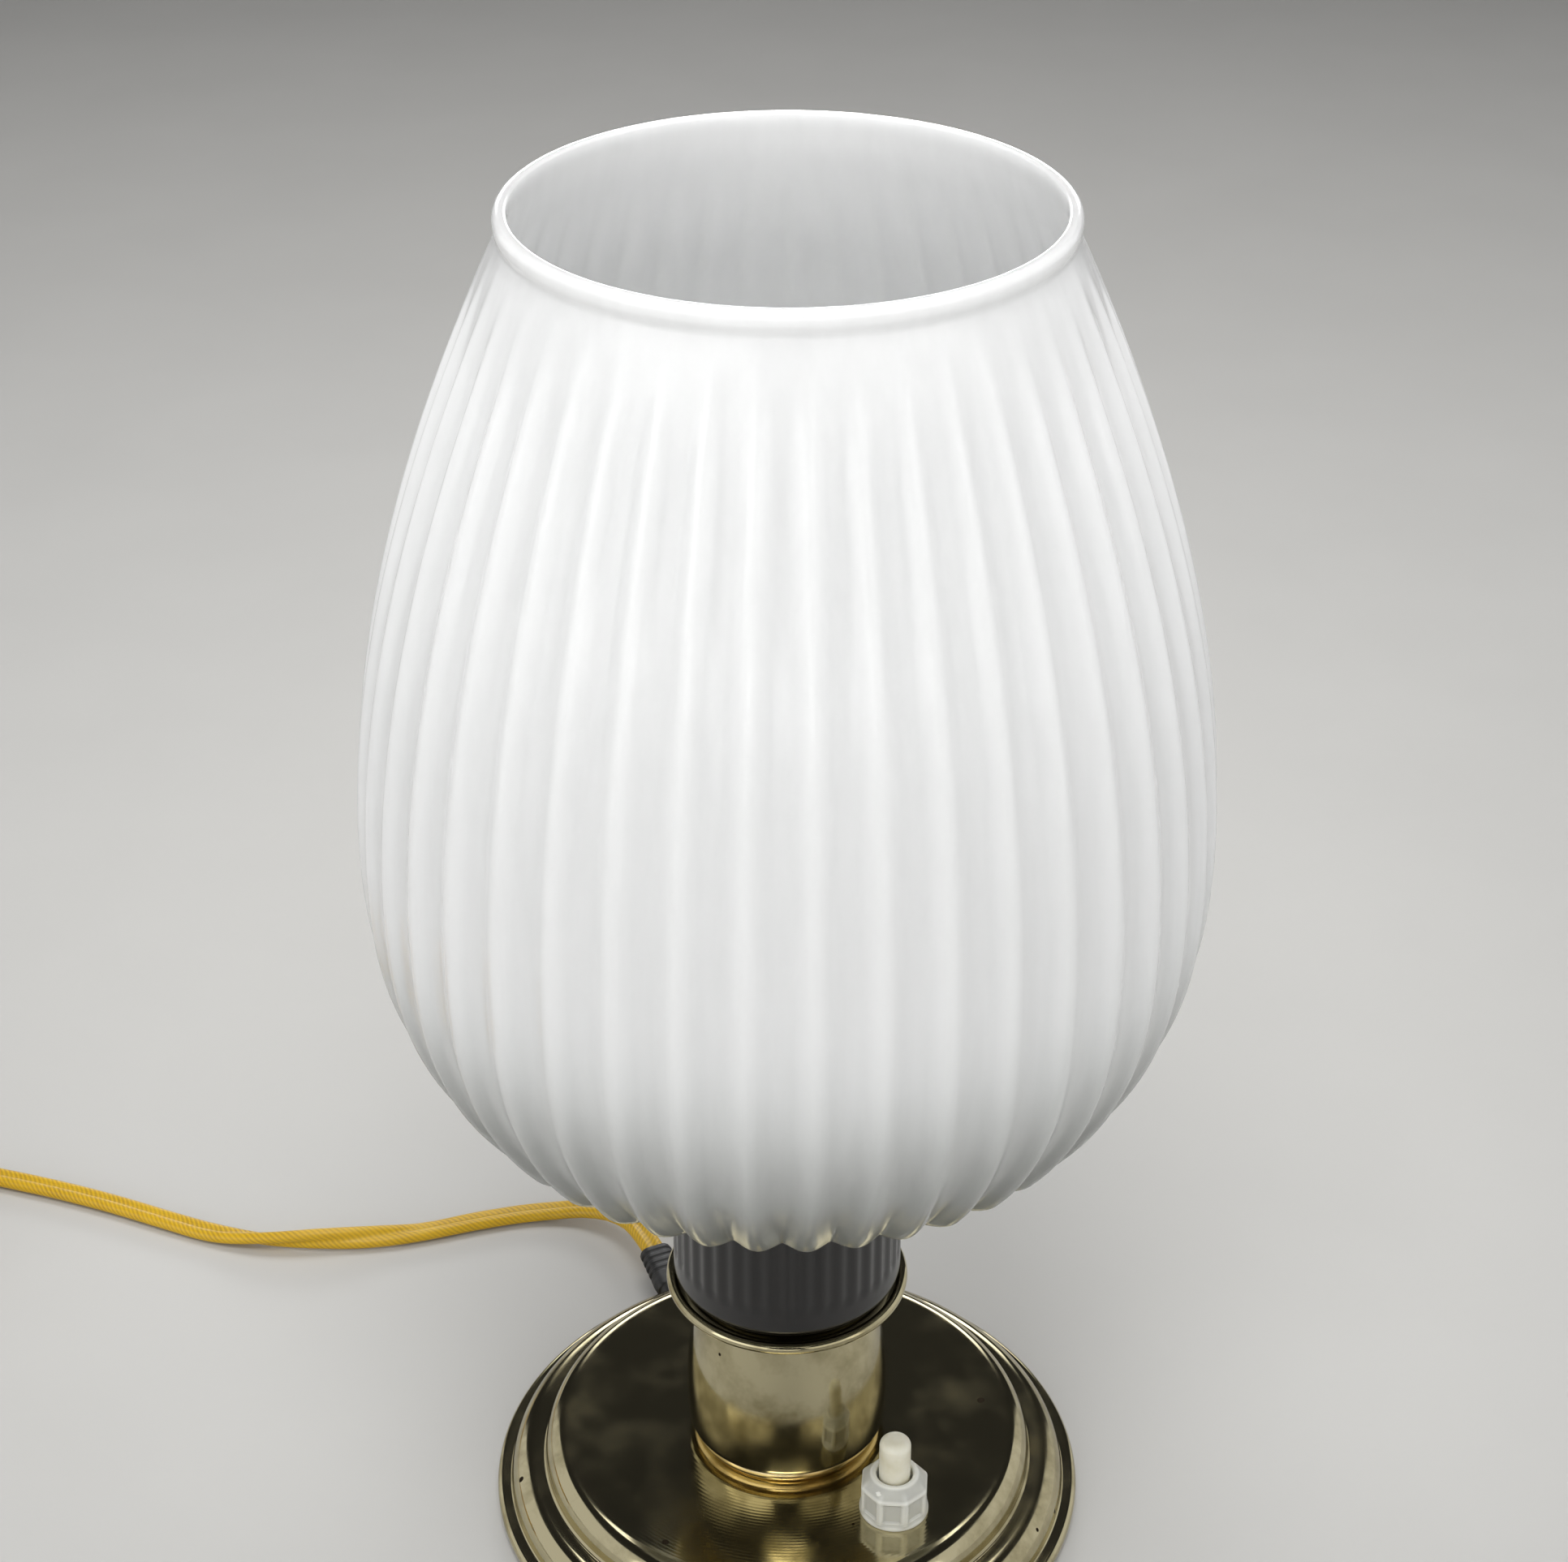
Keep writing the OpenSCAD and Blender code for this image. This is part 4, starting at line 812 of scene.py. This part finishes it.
TURN_STEPS, BEND_STEPS, WALL_STEPS = 18, 12, 60
# Middle of the shade, the heights where the painted shade begins and is strongest, and how strong it gets
GLASS_MIDDLE, PAINTED_SHADE_TOP, PAINTED_SHADE_LOW, PAINTED_SHADE_MOST = 170, 172, 100, 0.85


def glass_radius(z):
    """Radius over the ribs at a height."""
    if z > GLASS_WIDE_Z:
        return GLASS_R - (GLASS_R - NECK_R) * ((z - GLASS_WIDE_Z) / (NECK_Z - GLASS_WIDE_Z)) ** CROWN_POWER
    return GLASS_R - (GLASS_R - CORNER_R) * ((GLASS_WIDE_Z - z) / (GLASS_WIDE_Z - CORNER_Z)) ** FOOT_POWER


class LAMP_OT_shade(bpy.types.Operator):
    """Ribbed opal glass shade"""
    bl_idname = "lamp.shade"
    bl_label = "Glass shade"

    def execute(self, context):
        props = context.scene.lamp_glass
        depth, foot, wall = props.rib_depth / MM, props.foot_depth / MM, props.wall / MM

        def flutes(z):
            deep = mix(depth, foot, smooth_step((CORNER_Z + FOOT_FADE - z) / FOOT_FADE))
            return deep * smooth_step((NECK_Z - z) / RIB_FADE)

        def inner_r(z):
            return glass_radius(z) - wall - flutes(z)

        # Outline in three stretches of (r, z, depth of the flutes): outside, rim and inside
        levels = [mix(CORNER_Z, NECK_Z, k / WALL_STEPS) for k in range(WALL_STEPS + 1)]
        under = [bezier((FLAT_R, GLASS_LOW), TURN_AT, (CORNER_R, CORNER_Z), k / TURN_STEPS) for k in range(TURN_STEPS)]
        outside = [(HOLE_R, GLASS_LOW, 0.0), (CLAMP_R_MID, GLASS_LOW, 0.0)]
        outside += [(r, z, foot * k / TURN_STEPS) for k, (r, z) in enumerate(under)]
        outside += [(glass_radius(z), z, flutes(z)) for z in levels]
        bead = [(NECK_R - 0.12, 0.4), (NECK_R - 0.12, 0.9), (NECK_R + 0.02, 1.35), (RIM_R - 0.08, 1.9), (RIM_R, 2.5)]
        rim = [(r, NECK_Z + up, 0.0) for r, up in bead]
        edges = arc((RIM_R - RIM_OUT, GLASS_TOP - RIM_OUT), RIM_OUT, 0, 90, 8)
        edges += arc((RIM_R - RIM_T + RIM_IN, GLASS_TOP - RIM_IN), RIM_IN, 90, 180, 8)
        rim += [(r, z, 0.0) for r, z in edges]
        # Inside the neck a soft bend leads from the upright rim into the leaning wall
        bend_z, upright = NECK_Z - NECK_BEND, RIM_R - RIM_T
        slope = inner_r(bend_z) - inner_r(bend_z - 1)
        meet = (upright, bend_z + (upright - inner_r(bend_z)) / slope)
        bends = [k / BEND_STEPS for k in range(1, BEND_STEPS + 1)]
        rim += [(*bezier((upright, GLASS_TOP - RIM_IN), meet, (inner_r(bend_z), bend_z), t), 0.0) for t in bends]
        inner_corner = (CORNER_R - wall - foot, CORNER_Z)
        inner_turn = (TURN_AT[0] - 1.3 * wall, TURN_AT[1] + wall)
        inside = [(inner_r(z), z, INNER_RIBS * flutes(z)) for z in levels[::-1] if z < bend_z - 0.5]
        inside += [(*bezier(inner_corner, inner_turn, (FLAT_R, CLAMP_Z), t), INNER_RIBS * foot * (1 - t))
                   for t in bends]
        inside += [(CLAMP_R_MID, CLAMP_Z, 0.0), (HOLE_R, CLAMP_Z, 0.0)]

        outline = outside + rim + inside
        count = RIB_STEPS * props.ribs
        crests = [(1 + math.cos(TURN * k / RIB_STEPS)) / 2 for k in range(count)]
        angles = [RIB_PHASE + TURN * k / count for k in range(count)]
        rings = []
        for i, (r, z, deep) in enumerate(outline):
            way = course(outline, i)
            facing = 1 if i < len(outside) else -1
            sharp = mix(RIB_SHARP, FOOT_SHARP, smooth_step((CORNER_Z + FOOT_ROUND - z) / FOOT_ROUND))
            sinks = [deep * facing * (1 - crest ** sharp) for crest in crests]
            rings.append([spot((0, 0), r - sink * way.y, a, z + sink * way.x) for sink, a in zip(sinks, angles)])
        make_piece("ribbed_glass", loft(rings), opal_glass(props), ("glass_shade",), crease=60)
        return {"FINISHED"}


class LAMP_OT_base(bpy.types.Operator):
    """Stepped spun base, gold foot ring and felt"""
    bl_idname = "lamp.base"
    bl_label = "Base"

    def execute(self, context):
        props = context.scene.lamp_metal
        plate = spun_plate(props, "Pale_brass_plate_spun", tuple(props.plate), tuple(props.stain))
        outer, inner, ledge, flange, hem = BASE_R - 3, BASE_R - 10.3, 8.9, 3.2, 1.3
        floor = flange - SHEET
        roll = arc((BASE_R - hem, flange - hem), hem, 90, -180, 24)
        outline = rounded([
            (TUBE_HOLE, BASE_TOP, 0), (inner, BASE_TOP, 4.7), (inner, ledge, 0.8), (outer, ledge, 5.2),
            (outer, flange, 0.45), (BASE_R - hem, flange, 0)], 12)
        outline += roll[1:] + [(roll[-1][0], floor)]
        outline += rounded([
            (outer - SHEET, floor, 0), (outer - SHEET, ledge - SHEET, 4.3), (inner - SHEET, ledge - SHEET, 0.2),
            (inner - SHEET, BASE_TOP - SHEET, 3.8), (TUBE_HOLE, BASE_TOP - SHEET, 0)], 8)
        make_piece("stepped_base", loft(turned(dense(outline))), plate, ("base_shell",))

        gold = spun_plate(props, "Gold_brass_turned_and_polished", tuple(props.gold), to_linear("D2A95E"), (0.2, 0.27))
        half = (RING_TOP - RING_LOW) / 2
        bulge = arc((RING_R - half, RING_LOW + half), half, -90, 90, 20)
        outline = [(TUBE_HOLE, RING_LOW), *bulge, (TUBE_HOLE, RING_TOP)]
        make_piece("gold_foot_ring", loft(turned(dense(outline))), gold, ("foot_ring",))

        edge = rounded([(0, FELT_LOW, 0), (FELT_R, FELT_LOW, 0.45), (FELT_R, FELT_TOP, 0.45), (0, FELT_TOP, 0)], 4)
        disc = turned(dense(edge, 4, closed=False))
        make_piece("felt_disc", loft(disc, loop=False), finish_of("felt"), ("felt_pad",))
        return {"FINISHED"}


class LAMP_OT_stem(bpy.types.Operator):
    """Rounded stem and its shallow cap"""
    bl_idname = "lamp.stem"
    bl_label = "Stem"

    def execute(self, context):
        props = context.scene.lamp_metal
        plate = spun_plate(props, "Pale_brass_stem_spun", tuple(props.plate), tuple(props.stain))
        belly, wide_z = 85.5, STEM_LOW + 7.8
        centre = STEM_R - belly
        steps = 48
        levels = [mix(STEM_LOW + 0.5, STEM_TOP - 0.4, k / steps) for k in range(steps + 1)]
        side = [(centre + math.sqrt(belly ** 2 - (z - wide_z) ** 2), z) for z in levels]
        outline = [(TUBE_HOLE, STEM_LOW), (side[0][0] - 0.5, STEM_LOW), (side[0][0] - 0.15, STEM_LOW + 0.15), *side,
                   (side[-1][0] - 0.15, STEM_TOP - 0.1), (side[-1][0] - 0.5, STEM_TOP), (TUBE_HOLE, STEM_TOP)]
        inner = [(r - SHEET, z) for r, z in side[2:-2]][::-1]
        outline += [(TUBE_HOLE, STEM_TOP - SHEET), *inner, (TUBE_HOLE, STEM_LOW + SHEET)]
        make_piece("rounded_stem", loft(turned(dense(outline, 1.5))), plate, ("stem_drum",))

        flat, rise, bead_r = 15.57, 1.5, 1.1
        run = CAP_R - bead_r - flat
        round_r = (run ** 2 + rise ** 2) / (2 * rise)
        lean = math.degrees(math.acos(run / round_r))
        pivot, bead = (flat, CAP_TOP - round_r), (flat + run, CAP_TOP - rise)
        outline = [(TUBE_HOLE, CAP_TOP), *arc(pivot, round_r, 90, lean + 3.4, 14), *arc(bead, bead_r, 158, -145, 32),
                   *arc(pivot, round_r - SHEET, lean + 2, 90, 14), (TUBE_HOLE, CAP_TOP - SHEET)]
        make_piece("shallow_cap", loft(turned(dense(outline))), plate, ("stem_cap",))
        return {"FINISHED"}


class LAMP_OT_holder(bpy.types.Operator):
    """Black lampholder, and the ring and gaskets that hold the glass"""
    bl_idname = "lamp.holder"
    bl_label = "Lampholder"

    def execute(self, context):
        black = finish_of("phenolic")
        grips, grip_depth = 40, 0.35

        def gripped(angle, r, z):
            if r < HOLDER_R - 0.6:
                return r
            return r - grip_depth * window(z, HOLDER_LOW + 6, HOLDER_TOP - 2.5, 1.5) * wave(grips * angle / TURN)

        outline = rounded([
            (TUBE_HOLE, HOLDER_LOW, 0), (HOLDER_R, HOLDER_LOW, 2.5), (HOLDER_R, HOLDER_TOP, 0.6),
            (HOLDER_R - 2.5, HOLDER_TOP, 0.2), (HOLDER_R - 2.5, HOLDER_LOW + 3, 1.2), (8, HOLDER_LOW + 3, 0.3),
            (8, HOLDER_LOW + 7.6, 0.3), (TUBE_HOLE, HOLDER_LOW + 7.6, 0)])
        rings = turned(dense(outline, 1.0), 8 * grips, gripped)
        make_piece("holder_lower_cap", loft(rings), black, ("holder_cap",))

        skirt, bore, spigot, pitch, thread_depth = 19.4, 15.1, HOLDER_R - 2.8, 2.5, 0.7
        seat, thread_low, thread_high = GASKET_LOW, GASKET_LOW + 6.4, SKIRT_TOP - 1.2

        def threaded(angle, r, z):
            if r < skirt - 0.05 or not thread_low < z < thread_high:
                return r
            turns = (z - thread_low) / pitch - angle / TURN
            return r - thread_depth * window(z, thread_low, thread_high, pitch) * wave(turns)

        outline = dense(rounded([
            (13.5, SPIGOT_LOW, 0), (spigot, SPIGOT_LOW, 0.3), (spigot, HOLDER_TOP, 0), (skirt, HOLDER_TOP, 0),
            (skirt, seat - 2, 0.3), (SEAT_R, seat - 2, 0.5), (SEAT_R, seat, 0.4), (skirt, seat, 0.2)]), 1.2, False)
        rows = int((SKIRT_TOP - 0.6 - seat - 0.4) / 0.3)
        outline += [(skirt, mix(seat + 0.4, SKIRT_TOP - 0.6, k / rows)) for k in range(rows + 1)]
        outline += [(skirt - 0.5, SKIRT_TOP), (bore, SKIRT_TOP), (bore, HOLDER_TOP - 2), (13.5, HOLDER_TOP - 2)]
        make_piece("holder_skirt", loft(turned(outline, 160, threaded)), black, ("holder_body",))

        notches, notch_depth, wall_r = 24, 0.7, CLAMP_R - 3.8

        def notched(angle, r, z):
            if r < wall_r - 0.6 or z < CLAMP_LOW + 2.8:
                return r
            return r - notch_depth * smooth_step((math.cos(notches * angle) - 0.2) / 0.5)

        outline = rounded([
            (skirt + 0.3, CLAMP_LOW, 0.2), (CLAMP_R, CLAMP_LOW, 0.4), (CLAMP_R, CLAMP_LOW + 2.4, 0.7),
            (wall_r, CLAMP_LOW + 2.4, 0.5), (wall_r, CLAMP_TOP, 0.5), (skirt + 0.3, CLAMP_TOP, 0.4)], 5)
        rings = turned(dense(outline, 0.8), 12 * notches, notched)
        make_piece("glass_clamp_ring", loft(rings), black, ("shade_ring",))
        dress(finish_of("gasket"), "gasket_lower", "gasket_upper")
        return {"FINISHED"}


class LAMP_OT_bulb(bpy.types.Operator):
    """Frosted bulb with its metal cap"""
    bl_idname = "lamp.bulb"
    bl_label = "Bulb"

    def execute(self, context):
        neck_r, turn = 13.6, 35
        middle = BULB_TOP - BULB_R
        bend = math.radians(turn)
        flare = (BULB_R * math.cos(bend) - neck_r) / (1 - math.cos(bend))
        flare_z = middle - (BULB_R + flare) * math.sin(bend)
        start = 180 - math.degrees(math.asin((BULB_NECK - flare_z) / flare))
        outline = [(0, BULB_NECK), (neck_r - 0.6, BULB_NECK)]
        outline += arc((neck_r + flare, flare_z), flare, start, 180 - turn, 24)
        outline += arc((0, middle), BULB_R, -turn, 90, 48)[1:]
        rings = turned(outline, 128)
        make_piece("bulb_envelope", loft(rings, loop=False), frosted_bulb(), ("bulb_glass",))
        dress(finish_of("aluminium"), "bulb_cap", "bulb_contact")
        dress(finish_of("vitrite"), "bulb_insulator")
        return {"FINISHED"}


class LAMP_OT_switch(bpy.types.Operator):
    """Eight-sided collar, push-button and its spring"""
    bl_idname = "lamp.switch"
    bl_label = "Switch"

    def execute(self, context):
        props = context.scene.lamp_switch
        half, panel = props.collar_w / MM / 2, props.panel / MM
        first_flat = math.radians(-50)
        step = TURN / 8
        mouth, bore, lip = 3.6, 5.0, 1.1
        low, side_top, top = BASE_TOP, COLLAR_TOP - 2.2, COLLAR_TOP
        edge = half - 0.18
        # Rows from the foot up over the roof and down the mouth: inner radius, height, roundness, panel
        foot = half + 0.25
        rows = [(bore, low, 1, 0), (foot - 0.25, low, 1, 0), (foot - 0.05, low + 0.1, 1, 0), (foot, low + 0.3, 1, 0),
                (foot, low + 0.7, 1, 0), (foot - 0.1, low + 0.95, 0.9, 0), (half - 0.1, low + 1.25, 0.1, 0),
                (edge, low + 1.45, 0, 0)]
        levels = [low + 1.6 + 0.25 * k for k in range(int((side_top - low - 1.9) / 0.25))]
        rows += [(edge, z, 0, window(z, levels[0], levels[-1], 0.5)) for z in levels]
        rows += [(edge, side_top - 0.3, 0, 0), (half - 0.3, side_top - 0.05, 0, 0),
                 (half - 0.55, side_top + 0.2, 0.05, 0)]
        roof_r, roof_z = mouth + lip + 0.25, top - 0.45
        for k in range(1, 9):
            t = k / 8
            rows.append((mix(half - 0.55, roof_r, t), mix(side_top + 0.2, roof_z, t), 0.05 + 0.95 * smooth_step(t), 0))
        rows += [(r, top - d, 1, 0) for r, d in (
            (mouth + lip + 0.1, 0.2), (mouth + lip - 0.15, 0.03), (mouth + 0.65, 0), (mouth + 0.3, 0.1),
            (mouth + 0.05, 0.35), (mouth, 0.8), (mouth, 2.0), (bore, 2.1))]
        # The corners are cut back as on a turned blank; angles of a panel's half and of its slope in radians
        corner_cut, panel_half, panel_slope = 1.066, 0.3, 0.06

        def sided(angle, inner_r, _, roundness, sunk):
            off = (angle - first_flat + step / 2) % step - step / 2
            flat = min(inner_r / math.cos(off), corner_cut * inner_r)
            return mix(flat, inner_r, roundness) - panel * sunk * smooth_step((panel_half - abs(off)) / panel_slope)

        rings = turned(rows, 128, sided, SWITCH_AT)
        milk = milky_plastic("Polythene_collar_moulded", tuple(props.milk), "BDBDB6")
        make_piece("switch_collar_nut", loft(rings), milk, ("switch_collar",), crease=28)

        ivory = milky_plastic("Polythene_button_moulded", tuple(props.ivory), "D6D0B4")
        flange, flange_top, button, dome = 5.85, BUTTON_LOW + 1.4, 3.1, 1.7
        outline = dense(rounded([
            (0, BUTTON_LOW, 0), (flange, BUTTON_LOW, 0.2), (flange, flange_top, 0.2), (button, flange_top, 0.2),
            (button, BUTTON_TOP, dome), (0, BUTTON_TOP, 0)], 10), 0.8, closed=False)
        rings = turned(outline, 96, centre=SWITCH_AT)
        make_piece("push_button", loft(rings, loop=False), ivory, ("switch_button",), BUTTON)
        dress(milk, "switch_body")

        # The coil spring under the button, on a mesh of its own; in the lamp it shortens by the travel of the button
        outer, low, high = reach("switch_spring")
        steps, wire_r = SPRING_TURNS * SPRING_STEPS, SPRING_WIRE / 2
        coil = []
        for k in range(steps + 1):
            z = mix(low + wire_r, high - wire_r, k / steps)
            coil.append(Vector((*spot(SWITCH_AT, outer - wire_r, TURN * k / SPRING_STEPS, z), 0)))
        wire = arc((0, 0), wire_r, 0, 330, 11)
        spring = make_piece("button_spring", loft(swept(coil, wire), loop=False), finish_of("steel"),
                            ("switch_spring",))
        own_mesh(spring)
        dress(finish_of("contact"), "switch_terminals")
        return {"FINISHED"}


class LAMP_OT_inner(bpy.types.Operator):
    """Finishes of the pieces inside the lamp"""
    bl_idname = "lamp.inner"
    bl_label = "Inner pieces"

    def execute(self, context):
        for finish, nodes in {
            "iron": ("base_weight",), "board": ("bottom_disc",), "steel": ("threaded_tube", "tube_washer", "tube_nut"),
            "porcelain": ("holder_insert",), "contact": ("holder_terminals", "screw_shell", "centre_contact"),
            "brown": ("lead_live", "lead_return"), "blue": ("lead_neutral",),
        }.items():
            dress(finish_of(finish), *nodes)
        return {"FINISHED"}


GROUPS = {
    "lamp_stage": LampStage, "lamp_cord": LampCord, "lamp_glass": LampGlass, "lamp_metal": LampMetal,
    "lamp_switch": LampSwitch,
}
OPERATORS = (
    LAMP_OT_stage, LAMP_OT_cord, LAMP_OT_shade, LAMP_OT_base, LAMP_OT_stem, LAMP_OT_holder, LAMP_OT_bulb,
    LAMP_OT_switch, LAMP_OT_inner,
)


class LAMP_PT_panel(bpy.types.Panel):
    """Sizes, colours and steps of the lamp"""
    bl_label = "Bedside Lamp"
    bl_idname = "LAMP_PT_panel"
    bl_space_type = "VIEW_3D"
    bl_region_type = "UI"
    bl_category = "Lamp"

    def draw(self, context):
        for name, group in GROUPS.items():
            box = self.layout.box()
            box.label(text=group.__doc__)
            for prop in group.__annotations__:
                box.prop(getattr(context.scene, name), prop)
        for operator in OPERATORS:
            self.layout.operator(operator.bl_idname)


def register():
    for kind in (*GROUPS.values(), *OPERATORS, LAMP_PT_panel):
        bpy.utils.register_class(kind)
    for name, group in GROUPS.items():
        setattr(bpy.types.Scene, name, PointerProperty(type=group))


def unregister():
    for name in GROUPS:
        delattr(bpy.types.Scene, name)
    for kind in (LAMP_PT_panel, *OPERATORS, *GROUPS.values()):
        bpy.utils.unregister_class(kind)


def main():
    register()
    for operator in OPERATORS:
        getattr(bpy.ops.lamp, operator.bl_idname.split(".")[1])()


if __name__ == "__main__":
    main()
